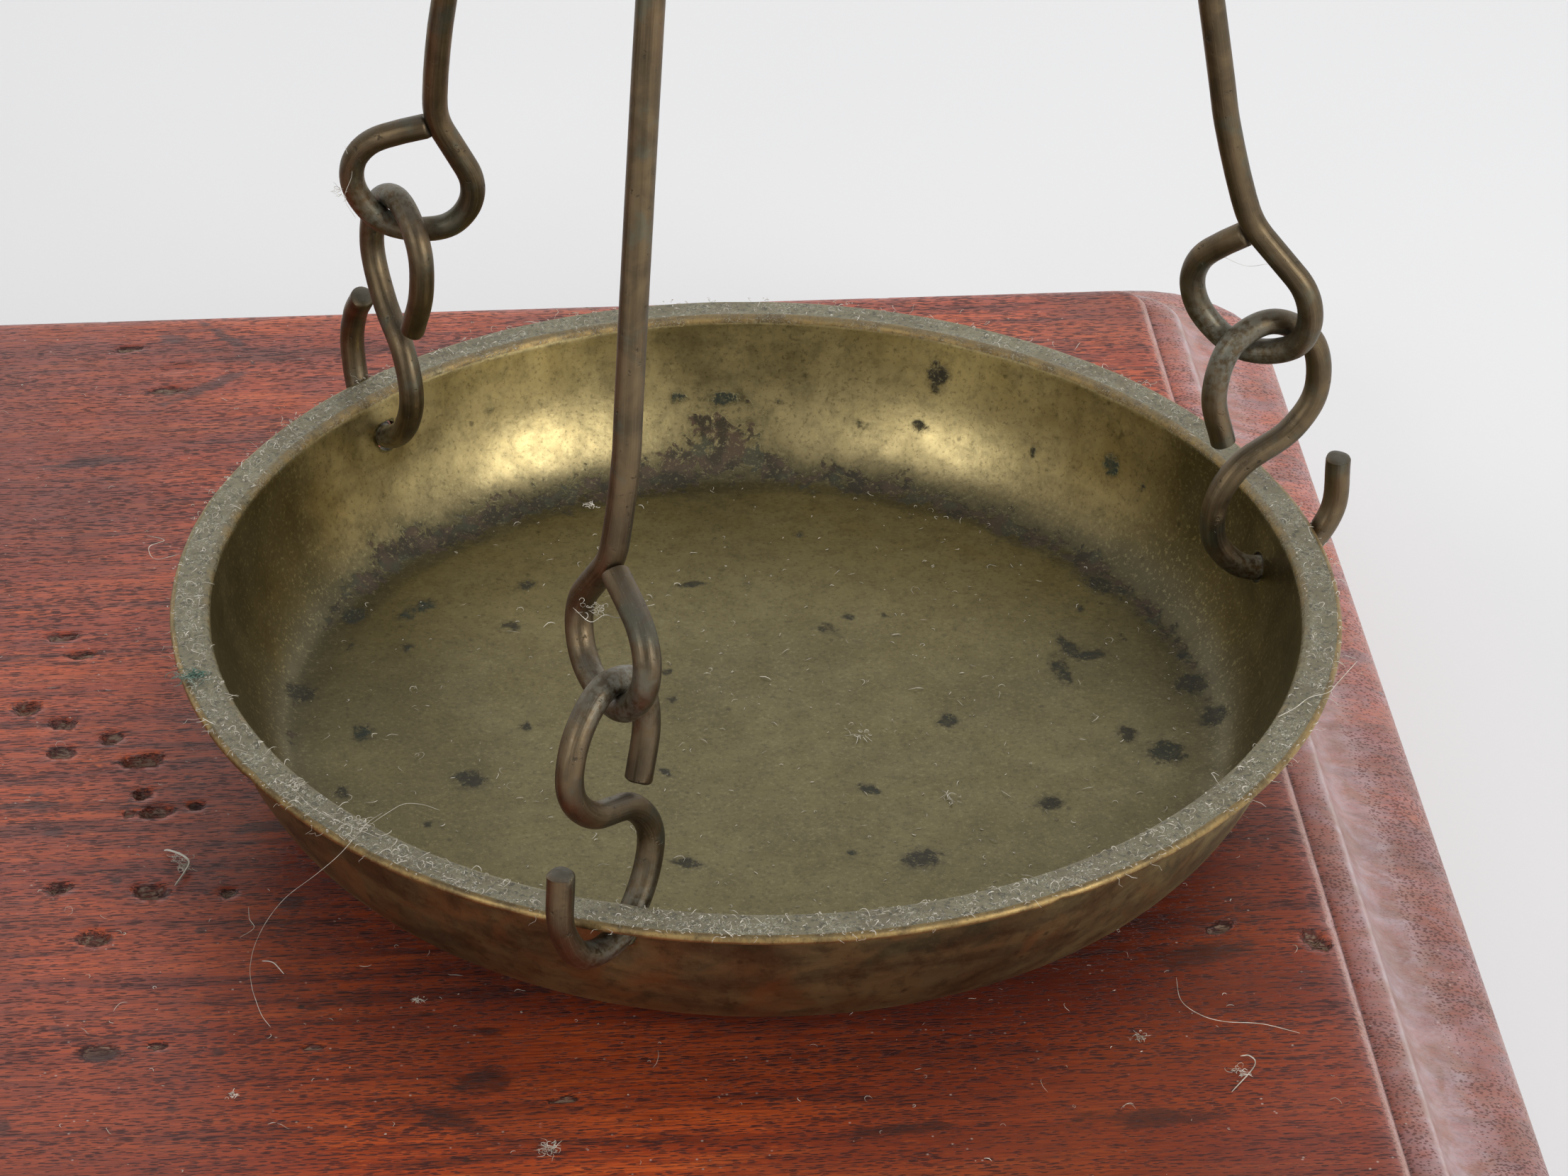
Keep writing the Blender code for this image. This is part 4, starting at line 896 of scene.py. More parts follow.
def build_board():
    """Board with its rounded arris, quirk and ogee edge, bruised and nicked."""
    verts, faces, fields = board_mesh()
    offset = verts - PAN_CENTRE["right"]
    ragged = offset + np.column_stack([0.5 * cloud(verts, 1.6, 5), 0.35 * cloud(verts, 1.1, 6),
                                       np.zeros(len(verts))])
    upper_face = ease(verts[:, 2], BOARD_TOP - 1.5, BOARD_TOP - 0.2)
    draws = np.random.default_rng(31)
    bruises = [(x, y, 0.70 * long, 0.92 * wide, deep, turn) for x, y, long, wide, deep, turn in BRUISES]
    scattered = [(draws.uniform(-270, 45), draws.uniform(-85, 85), draws.uniform(0.8, 2.4),
                  draws.uniform(0.4, 1.0), draws.uniform(0.1, 0.5), draws.uniform(-25, 25))
                 for _ in range(46)]
    scattered = [mark for mark in scattered if mark[0] < -80.0 or abs(mark[1]) > 72.0]
    dent = np.full(len(verts), -1.0)
    for mark in bruises + scattered:
        field = blots(ragged, [mark])
        verts[:, 2] -= mark[4] * ease(field, -0.05, 0.45) * upper_face
        if mark[4] > 0.2:
            dent = np.maximum(dent, field)
    fields["dent"] = np.where(upper_face > 0.3, dent, -1.0)
    fields["stain"] = np.where(upper_face > 0.3, blots(offset, STAINS), -1.0)
    # painted shade: darker to the right of the pan and towards the front
    rightwards, forwards = offset[:, 0] - 0.25 * offset[:, 1], -offset[:, 1]
    fields["shade"] = 0.62 * ease(rightwards, -5.0, 55.0) * ease(forwards, -60.0, 30.0)
    # small knocks along the edges and a very slightly uneven top
    knock = np.clip(cloud(verts, 3.4, 8) - 0.42, 0.0, 1.0) * 1.7
    way = verts[:, :2] / BOARD_HIGH[:2]
    near_edge = fields["arris"]
    verts[:, :2] -= 0.8 * (way * (knock * near_edge)[:, None])
    verts[:, 2] -= knock * near_edge * 0.5
    verts[:, 2] -= 0.06 * upper_face * (1.0 + cloud(verts, 24.0, 12))
    add_piece("look_base_board", verts, faces, WOOD, "base", ["base_board"], crease=50.0, fields=fields)


def build_feet():
    """Turned bun feet."""
    for name in ("front_left", "front_right", "back_left", "back_right"):
        low, high = box_mm("foot_" + name)
        centre = (low + high) / 2
        reach = (high[0] - low[0]) / 2
        top, bottom = high[2], low[2]
        profile = [(0.0, top), (reach - 2.6, top), (reach - 1.3, top - 0.7), (reach - 0.3, top - 2.2),
                   (reach, top - 3.9), (reach - 0.3, top - 5.8), (reach - 1.2, top - 7.6),
                   (reach - 2.6, bottom + 0.8), (reach - 3.6, bottom), (0.0, bottom)]
        verts, faces = lathe(rounded(profile, 1.6, 4), 72, centre[:2])
        fields = {"dent": -1.0, "stain": -1.0, "arris": 0.0, "groove": 0.0, "film_and_sheen": 0.2, "shade": 0.0}
        fields = {field: np.full(len(verts), value) for field, value in fields.items()}
        node = "foot_" + name
        add_piece("look_" + node, verts, faces, WOOD, "base", [node], crease=50.0, fields=fields)


# ---------------------------------------------------------------- pans

PAN_DEPTH, SHEET = 16.4, 1.0
# Inner section of the wall from the flat floor to under the lip: (radius, height)
WALL = [(42.6, -15.4), (44.3, -15.16), (45.8, -14.3), (47.3, -12.6), (48.7, -10.1), (49.75, -7.4),
        (50.5, -4.6), (51.0, -2.1), (51.2, -0.9)]
# Dark spots on the pan's floor: radius, direction in degrees, half sizes round and out, green share
SPOTS = [(38.3, 144, 1.5, 1.0, 1.0), (38.9, 147.5, 1.3, 0.8, 0.9), (43.4, 151, 1.7, 1.3, 0.5),
         (33.0, 129, 1.3, 0.8, 0.2), (29.0, 141, 1.2, 1.0, 0.2), (18.0, 62, 1.5, 0.7, 0.2),
         (21.0, 59, 0.9, 0.6, 0.3), (18.5, -3, 1.3, 1.0, 0.4), (15.0, -51, 0.9, 0.8, 0.4),
         (30.5, -30, 1.4, 1.3, 0.3), (27.0, -60, 2.2, 1.6, 0.2), (39.5, -11, 2.2, 2.0, 0.5),
         (35.6, -7, 1.5, 1.0, 0.1), (28.5, -164, 1.6, 1.6, 0.3), (37.5, 179, 1.5, 1.0, 1.0),
         (44.0, 170, 1.7, 1.5, 0.1), (25.0, 100, 1.6, 0.6, 0.2), (40.8, -167, 1.3, 0.9, 0.2),
         (33.6, 19, 2.9, 0.9, 0.4), (31.2, 12.5, 2.6, 0.9, 0.5), (35.4, 15.5, 0.9, 1.6, 0.4),
         (43.0, 5, 2.0, 1.8, 0.3), (44.2, -3, 1.8, 1.6, 0.3), (9.0, 150, 0.8, 0.6, 0.1),
         (22.0, 178, 0.9, 0.7, 0.3), (42.5, 31, 2.2, 1.2, 0.2), (24.0, -110, 1.8, 0.9, 0.1),
         (12.0, -140, 0.9, 0.5, 0.2)]
# Spots on the wall: direction, height, half sizes round and up, green share
WALL_SPOTS = [(89, -8.6, 1.9, 0.75, 0.7), (94.5, -8.3, 0.9, 0.6, 0.8), (65, -9.6, 1.0, 0.6, 0.2),
              (72, -10.4, 0.8, 0.5, 0.3), (63.5, -4.2, 1.2, 1.7, 0.05), (39, -7.2, 1.2, 1.1, 1.0),
              (50, -9.2, 0.6, 0.5, 0.3), (34, -7.6, 0.6, 0.5, 0.2), (102, -4.2, 0.5, 0.4, 0.4),
              (118, -6.0, 0.6, 0.5, 0.3), (83, -9.0, 1.2, 0.3, 0.3), (58, -10.5, 0.6, 0.4, 0.2)]


def pan_profile():
    """Section of the sheet as (radius, height, part): floor, wall, rim, then back below."""
    inner = smooth_path(WALL, 4)
    run = np.gradient(inner, axis=0)
    away = np.column_stack([run[:, 1], -run[:, 0]]) / np.linalg.norm(run, axis=1)[:, None]
    outer = inner + SHEET * away
    outer = outer[outer[:, 1] < -2.0]
    outer[0] = (inner[0, 0], -PAN_DEPTH)
    flat = inner[0, 0]
    rows = [(r, -PAN_DEPTH + SHEET, "floor") for r in np.linspace(0.0, flat, 40)[:-1]]
    rows += [(r, z, "turn" if z < -10.5 else "wall") for r, z in inner]
    rows += [(51.28, -0.56, "lip"), (51.42, -0.28, "lip"), (51.64, -0.08, "lip"), (51.92, 0.0, "lip"),
             (52.2, -0.04, "flange")]
    rows += [(r, -0.09, "flange") for r in (52.5, 53.0, 53.5, 54.0)]
    rows += [(54.4, -0.08, "flange"), (54.62, -0.1, "edge"), (54.82, -0.2, "edge"), (54.96, -0.38, "edge"),
             (55.0, -0.58, "edge"), (54.96, -0.76, "edge"), (54.8, -0.92, "edge"), (54.5, -1.0, "edge"),
             (53.9, -1.02, "under"), (53.2, -1.04, "under"), (52.7, -1.1, "under"), (52.35, -1.3, "under"),
             (52.18, -1.7, "under")]
    rows += [(r, z, "under") for r, z in outer[::-1]]
    rows += [(r, -PAN_DEPTH, "under") for r in np.linspace(flat, 0.0, 14)[1:]]
    return rows


class Sheet:
    """The pan's mesh and what is worked out for each of its points: part, radius, direction and height."""

    def __init__(self):
        rows = pan_profile()
        segments = 288
        self.verts, self.faces = lathe([(r, z) for r, z, _ in rows], segments)
        self.parts = np.concatenate([[part] * (1 if r < 1e-6 else segments) for r, _, part in rows])
        self.radius = np.linalg.norm(self.verts[:, :2], axis=1)
        self.turn = np.degrees(np.arctan2(self.verts[:, 1], self.verts[:, 0]))
        self.height = self.verts[:, 2].copy()
        self.out = self.verts * np.array([1.0, 1.0, 0.0]) / np.maximum(self.radius, 1e-6)[:, None]
        self.circle = self.out * 55.0

    def facing(self, direction):
        """1 for points that lie in a direction from the middle, -1 for those opposite."""
        return np.cos(np.radians(self.turn - direction))

    def among(self, *names):
        return np.isin(self.parts, names)


def pan_zones(sheet):
    """Fields that say where the floor, wall, flange, edge and outside are, and where painted light and
    painted shade go.
    """
    fields = {name: np.zeros(len(sheet.verts)) for name in ("wall", "flange", "edge", "under")}
    parts, height = sheet.parts, sheet.height
    for name, value in (("floor", -0.2), ("turn", 0.55), ("wall", 1.0), ("lip", 0.7)):
        fields["wall"][parts == name] = value
    fields["wall"][parts == "turn"] = ease(height[parts == "turn"], -15.7, -13.2)
    fields["flange"][parts == "flange"] = 1.0
    fields["flange"][parts == "lip"] = 0.60
    # edge and lip: worn brass, with a painted highlight, strongest at the front of the outer edge and at the
    # back of the lip
    front = 0.55 + 0.45 * sheet.facing(-80.0)
    fields["edge"][parts == "edge"] = front[parts == "edge"]
    fields["edge"][parts == "lip"] = 0.35 + 0.25 * sheet.facing(80.0)[parts == "lip"]
    fields["under"][parts == "under"] = 1.0
    fields["under"][(parts == "edge") & (height < -0.8)] = 1.0
    # painted light: the wall is lit at the back
    fields["back_wall_light"] = ease(sheet.facing(90.0), 0.35, 0.75)
    # painted light: the floor is lighter towards the back
    fields["back"] = 0.8 * ease(sheet.verts[:, 1], 4.0, 36.0) * (parts == "floor")
    # painted shade in the corner where the floor turns up into the wall, deepest at the sides
    fields["shade"] = np.where(sheet.among("floor", "turn"), np.exp(-((sheet.radius - 45.4) / 2.9) ** 2), 0.0)
    fields["shade"] *= 0.25 + 0.5 * np.abs(sheet.facing(-8.0))
    return fields


def pan_ring(sheet):
    """Ring of corrosion where the floor turns up: strongest at the back, uneven in place and width."""
    strength = 1.15 * ease(sheet.facing(82.0), 0.15, 0.55)
    strength = strength + 0.40 * cloud(sheet.circle, 12.0, 41) + 0.30 * cloud(sheet.circle, 4.0, 42)
    swing = 44.2 + 0.5 * cloud(sheet.circle, 22.0, 43)
    for angle, spread, push in ((143.0, 14.0, 1.2), (89.0, 7.0, 1.9), (40.0, 14.0, -0.5)):
        swing += push * np.exp(-((sheet.turn - angle) / spread) ** 2)
    width = 1.1 + 0.9 * np.clip(strength, 0.0, 1.3) + 1.3 * np.exp(-((sheet.turn - 89.0) / 9.0) ** 2)
    level = 0.62 * strength - 0.05 - np.abs(sheet.radius - swing) / width
    near_turn = (sheet.parts != "under") & (sheet.radius > 36) & (sheet.radius < 50.5)
    return np.clip(np.where(near_turn, level, -1.0), -1.0, 1.0)


def pan_spots(sheet):
    """Highest of all spot fields at each point, and how green that spot is."""
    spot = np.full(len(sheet.verts), -1.0)
    green = np.zeros(len(sheet.verts))
    marks = [(r, a, u, v, g, "floor") for r, a, u, v, g in SPOTS]
    draws = np.random.default_rng(77)
    marks += [(44.0 * math.sqrt(draws.uniform(0.01, 1)), draws.uniform(0, 360), draws.uniform(0.4, 0.9),
               draws.uniform(0.3, 0.7), draws.uniform(0.0, 0.6), "floor") for _ in range(34)]
    marks += [(h, a, u, v, g, "wall") for a, h, u, v, g in WALL_SPOTS]
    for first, angle, half_round, half_out, share, kind in marks:
        round_by = opened(sheet.turn, angle, sheet.radius)
        if kind == "floor":
            out_by, where = sheet.radius - first, sheet.among("floor", "turn")
        else:
            out_by, where = sheet.height - first, sheet.among("wall", "turn")
        field = 1.0 - np.sqrt((round_by / half_round) ** 2 + (out_by / half_out) ** 2)
        field = np.where(where, field, -1.0)
        green = np.where(field > spot, share, green)
        spot = np.maximum(spot, field)
    return np.clip(spot, -1.5, 1.0), np.clip(green, 0.0, 1.0)


# Nicks in the pan's edge: direction, half length round the rim, depth
NICKS = ((-66.0, 0.9, 0.28), (-150.0, 0.7, 0.15), (18.0, 0.6, 0.12), (-118.0, 0.5, 0.16))


def hand_work(sheet, crossings):
    """The rim runs slightly out of true, floor and wall are faintly uneven, the edge is nicked."""
    verts, out, circle = sheet.verts, sheet.out, sheet.circle
    radius, height = sheet.radius, sheet.height
    rim = ease(radius, 50.8, 52.6)
    verts[:, 2] += rim * (0.10 * cloud(circle, 26.0, 51) + 0.04 * cloud(circle, 6.0, 52))
    wavy = 0.07 * cloud(circle, 9.0, 53) + 0.03 * cloud(circle, 2.5, 54)
    verts += out * (ease(radius, 54.2, 54.9) * wavy)[:, None]
    bulge = sheet.among("wall", "turn", "under") * 0.10 * cloud(circle, 15.0, 55)
    verts += out * (bulge * ease(height, -16.0, -10.0))[:, None]
    verts[:, 2] += np.where(radius < 44.0, 0.09 * cloud(out * radius[:, None], 17.0, 56), 0.0)
    for angle, reach, depth in NICKS:
        dip = np.exp(-(opened(sheet.turn, angle, radius) / reach) ** 2) * ease(radius, 53.6, 54.8)
        verts -= out * (depth * dip)[:, None]
        verts[:, 2] -= 0.5 * depth * dip * (height > -0.5)
    # the sheet is drawn in a little round each hole
    for crossing in crossings:
        away = np.linalg.norm(verts - crossing, axis=1)
        verts -= out * (0.38 * np.exp(-((away - 1.6) / 1.5) ** 2) * (radius < 52.3))[:, None]


def hole_cutter(crossing, side):
    """Round helper solid through the wall where a hook crosses it, kept below the flange."""
    way = np.array([crossing[0], crossing[1], 0.0]) / np.linalg.norm(crossing[:2])
    at = np.array([crossing[0], crossing[1], min(crossing[2], -2.95)])
    return rod_cutter(place([at - way * 4.0], side)[0], place([at + way * 2.4], side)[0], 1.5)


def build_pan(side, crossings):
    """Beaten sheet pan with a flat dusty flange and three punched holes."""
    sheet = Sheet()
    fields = pan_zones(sheet)
    fields["ring"] = pan_ring(sheet)
    fields["spot"], fields["green"] = pan_spots(sheet)
    hand_work(sheet, crossings)
    pan = add_piece("look_pan_" + side, place(sheet.verts, side), sheet.faces, PAN_BRASS, side + "_pan",
                    ["pan_" + side], origin=PAN_CENTRE[side], crease=60.0, fields=fields)
    carve(pan, [hole_cutter(crossing, side) for crossing in crossings])
    pan.data.set_sharp_from_angle(angle=math.radians(50.0))
    soft = pan.modifiers.new("shading", "WEIGHTED_NORMAL")
    soft.keep_sharp = True
    soft.weight = 60


# ---------------------------------------------------------------- strands

WIRE_RADIUS = 1.22
# For each strand, measured from the rim's centre: the S-hook's seat, facing, tilt, lean and its shape from
# the upper cut end (sideways, up), then the lowest point of the rod's eye, its facing and roll, how wide and
# how long against the common eye, the side it closes on, how far the rod is bowed, and its seat on the ring.
STRANDS = [{"name": "outer", "seat": (49.8, 8.1, -3.5), "facing": 15.4, "tilt": -1.0, "lean": 2.0,
            "shape": [(-5.1, 13.3), (-6.4, 18.5), (-5.0, 23.6), (-0.8, 25.5), (3.6, 22.6), (4.4, 17.2),
                      (1.8, 13.2), (-2.8, 10.6), (-5.3, 7.0), (-5.2, 2.4), (-1.5, -1.2), (3.7, -0.8),
                      (7.2, 3.5), (7.4, 9.2)], "eye_low": (48.4, 8.4, 19.0), "eye_facing": -29.5, "roll": 2.4,
            "wide": 0.98, "long": 1.06, "side": 1, "bow": 5.2, "slot": 0.0},
           {"name": "front", "seat": (-16.0, -48.9, -3.4), "facing": -132.1, "tilt": 3.3, "lean": -3.6,
            "shape": [(-3.0, 14.1), (-4.2, 19.2), (-2.9, 23.6), (1.5, 24.8), (5.2, 21.6), (6.1, 16.9),
                      (3.3, 13.4), (-1.8, 11.9), (-4.5, 8.2), (-3.4, 3.6), (0.1, -0.1), (4.9, 0.3),
                      (7.7, 4.3), (7.6, 9.5)], "eye_low": (-16.8, -44.6, 18.4), "eye_facing": -68.5,
            "roll": -5.5, "wide": 1.11, "long": 0.92, "side": -1, "bow": -2.7, "slot": -3.4},
           {"name": "back", "seat": (-34.2, 36.7, -3.1), "facing": 115.2, "tilt": 5.2, "lean": -1.7,
            "shape": [(-4.7, 14.6), (-6.1, 19.6), (-5.1, 24.5), (-0.5, 27.1), (3.8, 24.4), (4.6, 18.9),
                      (1.3, 14.2), (-3.1, 11.0), (-5.3, 6.5), (-3.6, 1.8), (0.7, -1.2), (5.5, 0.2),
                      (7.9, 5.0), (7.6, 9.0), (6.1, 11.8)], "eye_low": (-31.3, 34.6, 20.6),
            "eye_facing": -7.3, "roll": 0.8, "wide": 1.0, "long": 0.98, "side": 1, "bow": 1.4, "slot": 3.4}]
RING_RADIUS, RING_BOTTOM, LINK = 7.5, 250.0, 2.75
# Teardrop eye from its cut end round to the rod: (sideways, up)
EYE = [(0.3, 12.4), (-2.2, 11.2), (-4.7, 9.6), (-6.1, 7.0), (-5.7, 3.8), (-3.1, 0.7), (0.2, 0.0), (3.7, 1.0),
       (5.5, 3.8), (5.4, 7.0), (3.4, 10.2), (1.3, 13.6), (0.7, 18.0), (0.5, 24.0)]


def evened(path, pitch=0.45, soften=0.45):
    """A path at an even pitch with its bends softened a little, as wire bends."""
    along = np.concatenate([[0.0], np.cumsum(np.linalg.norm(np.diff(path, axis=0), axis=1))])
    count = max(8, int(round(along[-1] / pitch)))
    step = along[-1] / count
    at = np.linspace(0.0, along[-1], count + 1)
    even = np.stack([np.interp(at, along, path[:, k]) for k in range(3)], axis=1)
    reach = int(round(3.0 * soften / step))
    weights = np.exp(-0.5 * (np.arange(-reach, reach + 1) * step / soften) ** 2)
    weights /= weights.sum()
    ends = [2 * even[0] - even[1:reach + 1][::-1], even, 2 * even[-1] - even[-reach - 1:-1][::-1]]
    padded = np.vstack(ends)
    return np.stack([np.convolve(padded[:, k], weights, "valid") for k in range(3)], axis=1)


def hook_line(strand):
    """Centre line of an S-hook from its upper cut end to its lower one, measured from the rim's centre."""
    a, lean, tilt = (math.radians(strand[key]) for key in ("facing", "lean", "tilt"))
    flat = np.array([math.cos(a), math.sin(a), 0.0])
    off = np.array([-math.sin(a), math.cos(a), 0.0])
    leaning = math.cos(lean) * UP + math.sin(lean) * off
    across = math.cos(tilt) * flat + math.sin(tilt) * leaning
    upright = -math.sin(tilt) * flat + math.cos(tilt) * leaning
    shape = smooth_path(strand["shape"], 7)
    return evened(np.array(strand["seat"]) + np.outer(shape[:, 0], across) + np.outer(shape[:, 1], upright))


def eye_line(end, towards, facing, roll, wide, long):
    """Centre line of an eye that starts at its cut end and runs on along the rod."""
    a, roll = math.radians(facing), math.radians(roll)
    flat = np.array([math.cos(a), math.sin(a), 0.0])
    flat = flat - (flat @ towards) * towards
    flat /= np.linalg.norm(flat)
    across = math.cos(roll) * flat + math.sin(roll) * towards
    upright = -math.sin(roll) * flat + math.cos(roll) * towards
    shape = np.array(EYE)
    return np.asarray(end) + np.outer(shape[:, 0] * wide, across) + np.outer(shape[:, 1] * long, upright)


def rod_line(strand):
    """Centre line of a rod: the eye on the hook, the long slightly bowed shank, the eye on the ring."""
    low = np.array(strand["eye_low"])
    slot = strand["slot"]
    ring_drop = math.sqrt(RING_RADIUS ** 2 - slot ** 2)
    high = np.array([0.0, slot, RING_BOTTOM + RING_RADIUS - ring_drop])
    bent = high + np.array([strand["bow"], 0.0, 0.0])
    towards = (bent - low) / np.linalg.norm(bent - low)
    lower = eye_line(low, towards, strand["eye_facing"], strand["roll"], strand["side"] * strand["wide"],
                     strand["long"])
    above = (high - low) / np.linalg.norm(high - low)
    upper = eye_line(high + above * LINK * RING_RADIUS / ring_drop, -above, 0.0, 0.0, 1.0, 1.05)[::-1]
    shank = []
    for share in (0.02, 0.08, 0.2, 0.35, 0.5, 0.65, 0.8, 0.92, 0.98):
        at = lower[-1] + (upper[0] - lower[-1]) * share
        shank.append(at + np.array([strand["bow"] * share * (1.0 - share) ** 2, 0.0, 0.0]))
    return evened(smooth_path(np.vstack([lower, shank, upper]), 6), 0.45, 0.5)


def thin_out(path, pitch):
    """Drop points of a path that lie closer together than pitch along straight runs."""
    kept = [path[0]]
    for i in range(1, len(path) - 1):
        step = np.linalg.norm(path[i] - kept[-1])
        a, b = path[i] - kept[-1], path[i + 1] - path[i]
        bend = 1.0 - (a @ b) / (np.linalg.norm(a) * np.linalg.norm(b) + 1e-9)
        if step > pitch or (bend > 0.0006 and step > 0.3):
            kept.append(path[i])
    kept.append(path[-1])
    return np.array(kept)


def crossing_of(line):
    """Where a hook passes through the pan's wall."""
    radius = np.linalg.norm(line[:, :2], axis=1)
    wall = 49.7 + (line[:, 2] + 11.0) * 0.24
    low = line[:, 2] < 2.0
    gap = np.where(low, np.abs(radius - wall), 99.0)
    return line[int(np.argmin(gap))]


def hook_crossings():
    return [crossing_of(hook_line(strand)) for strand in STRANDS]


def touch_worn(verts, places):
    """How much dust and patina has gathered near the places where wires touch."""
    near = np.min([np.linalg.norm(verts - at, axis=1) for at in places], axis=0)
    return np.exp(-(near / 5.0) ** 2)


def build_strands(side):
    """S-hooks and rods of one pan."""
    for number, strand in enumerate(STRANDS):
        seed = 100 + number + (10 if side == "left" else 0)
        name = strand["name"] + "_" + side
        hook, rod = hook_line(strand), rod_line(strand)
        touch = hook[np.argmin(np.linalg.norm(hook[:, None] - rod[None, ::2], axis=2).min(axis=1))]
        verts, faces, fields = wire(thin_out(hook, 0.5), WIRE_RADIUS, seed, nips=6)
        fields["worn"] = touch_worn(verts, [touch, crossing_of(hook)])
        add_piece("look_pan_hook_" + name, place(verts, side), faces, WIRE_BRASS, side + "_pan",
                  ["pan_hook_" + name], origin=PAN_CENTRE[side], fields=fields)
        verts, faces, fields = wire(thin_out(rod, 2.5), WIRE_RADIUS, seed + 40, nips=5, unevenness=0.012)
        fields["worn"] = touch_worn(verts, [touch])
        add_piece("look_rod_" + name, place(verts, side), faces, WIRE_BRASS, side + "_pan", ["rod_" + name],
                  origin=PAN_CENTRE[side], fields=fields)


# ---------------------------------------------------------------- column, beam and hangers

def flange_screws():
    """Middle of each flange screw's head."""
    return [middle(f"column_foot_screw_{k}")[:2] for k in (1, 2, 3)]


def turned(name, profile, soften, segments=96, ring=False):
    """A turned brass piece with softened corners."""
    verts, faces = lathe(rounded(profile, soften, 4, closed=ring), segments, ring=ring)
    return add_piece("look_" + name, verts, faces, BRASS, "base", [name], crease=60.0)


def build_column():
    """Flange, shaft, capital, finial and screws."""
    low, high = box_mm("column_foot")[0][2], box_mm("column_foot")[1][2]
    bore = 5.3
    profile = [(bore, low)]
    profile += raised(low, [(25.0, 0.0), (25.6, 0.5), (25.7, 1.4), (25.2, 2.3), (23.9, 2.7), (23.4, 3.1),
                            (16.6, 3.4), (15.6, 3.9), (14.7, 4.6), (13.2, 6.6), (12.0, 8.8), (11.3, 10.8),
                            (11.0, 11.4), (11.5, 11.8), (11.7, 12.4), (11.4, 13.1)])
    profile += [(10.9, high), (bore, high)]
    flange = turned("column_foot", profile, 0.35, ring=True)
    head_low = low + 3.7
    carve(flange, [rod_cutter((x, y, low - 1.0), (x, y, low + 8.0), 1.9) for x, y in flange_screws()])
    for index, (x, y) in enumerate(flange_screws(), start=1):
        dome = raised(head_low, [(0.0, 1.9), (1.2, 1.78), (2.1, 1.4), (2.75, 0.8), (3.0, 0.25), (2.95, 0.0),
                                 (1.6, 0.0), (1.6, -11.0), (0.0, -12.0)])
        verts, faces = lathe(rounded(dome, 0.25, 3), 48, (x, y))
        screw = add_piece(f"look_column_foot_screw_{index}", verts, faces, STEEL, "base",
                          [f"column_foot_screw_{index}"])
        turn = math.radians(25.0 + 50.0 * index)
        slot = [(-3.6, -0.35), (3.6, -0.35), (3.6, 0.35), (-3.6, 0.35)]

        def turned_place(u, v, height):
            across = x + u * math.cos(turn) - v * math.sin(turn)
            return (across, y + u * math.sin(turn) + v * math.cos(turn), height)

        carve(screw, [cutter(*prism(slot, head_low + 1.0, head_low + 3.0, turned_place))])

    low, high = box_mm("column_shaft")[0][2], box_mm("column_shaft")[1][2]
    foot = box_mm("column_foot")[1][2] + 0.3
    top = high - 7.0
    profile = [(0.0, low), (5.0, low)]
    profile += raised(foot, [(5.0, 0.0), (10.0, 0.0), (10.4, 0.6), (10.5, 1.5), (9.9, 2.5), (8.4, 3.2),
                             (7.9, 4.1), (8.3, 4.9), (9.3, 5.6), (9.5, 6.5), (9.0, 7.5), (7.8, 8.2),
                             (7.4, 9.2), (7.3, 14.0), (7.15, 50.0), (6.9, 90.0), (6.6, 120.0), (6.3, 160.0)])
    profile += raised(top, [(5.9, -40.0), (5.6, -16.0), (5.4, -12.2), (5.7, -11.0), (6.6, -10.2), (6.9, -9.2),
                            (6.9, -8.3), (6.5, -7.4), (5.7, -6.8), (5.5, -6.0), (5.6, -2.2), (6.1, -1.4),
                            (6.6, -0.9), (6.6, 0.0), (4.0, 0.0)])
    profile += [(4.0, high), (0.0, high)]
    turned("column_shaft", profile, 0.6)

    low, high = box_mm("column_capital")[0][2], box_mm("column_capital")[1][2]
    profile = raised(low, [(4.3, 0.0), (7.1, 0.0), (7.4, 0.3), (8.7, 1.3), (9.4, 2.5), (9.6, 3.6), (9.3, 4.8),
                           (8.5, 5.7), (7.9, 6.3), (7.8, 7.0), (8.2, 7.7), (9.4, 8.9), (10.2, 9.5),
                           (10.8, 10.0)])
    profile += raised(high, [(10.8, -0.5), (10.3, 0.0), (5.2, 0.0)])
    profile += raised(low, [(5.2, 8.0), (4.3, 8.0)])
    turned("column_capital", profile, 0.3, ring=True)

    low, high = box_mm("fork_finial")[0][2], box_mm("fork_finial")[1][2]
    profile = raised(low, [(0.0, 0.0), (3.3, 0.0), (3.6, 0.4), (3.6, 0.9), (2.9, 1.6), (2.1, 2.3), (2.0, 2.9),
                           (2.3, 3.5), (3.3, 4.6), (4.1, 6.0), (4.4, 7.4), (4.3, 8.8), (3.7, 10.4),
                           (2.6, 11.9), (1.6, 12.9), (0.8, 13.9)])
    profile += [(0.0, high)]
    turned("fork_finial", profile, 0.3, 72)


FORK_TOP = 38.0


def fork_half_width(height):
    """How far the fork reaches along the beam at a height above the pivot."""
    lower = 3.2 + 1.4 * ease(height, -19.5, -17.2) + 1.9 * ease(height, -15.5, -6.0)
    return lower - 4.3 * ease(height, 7.5, 24.5)


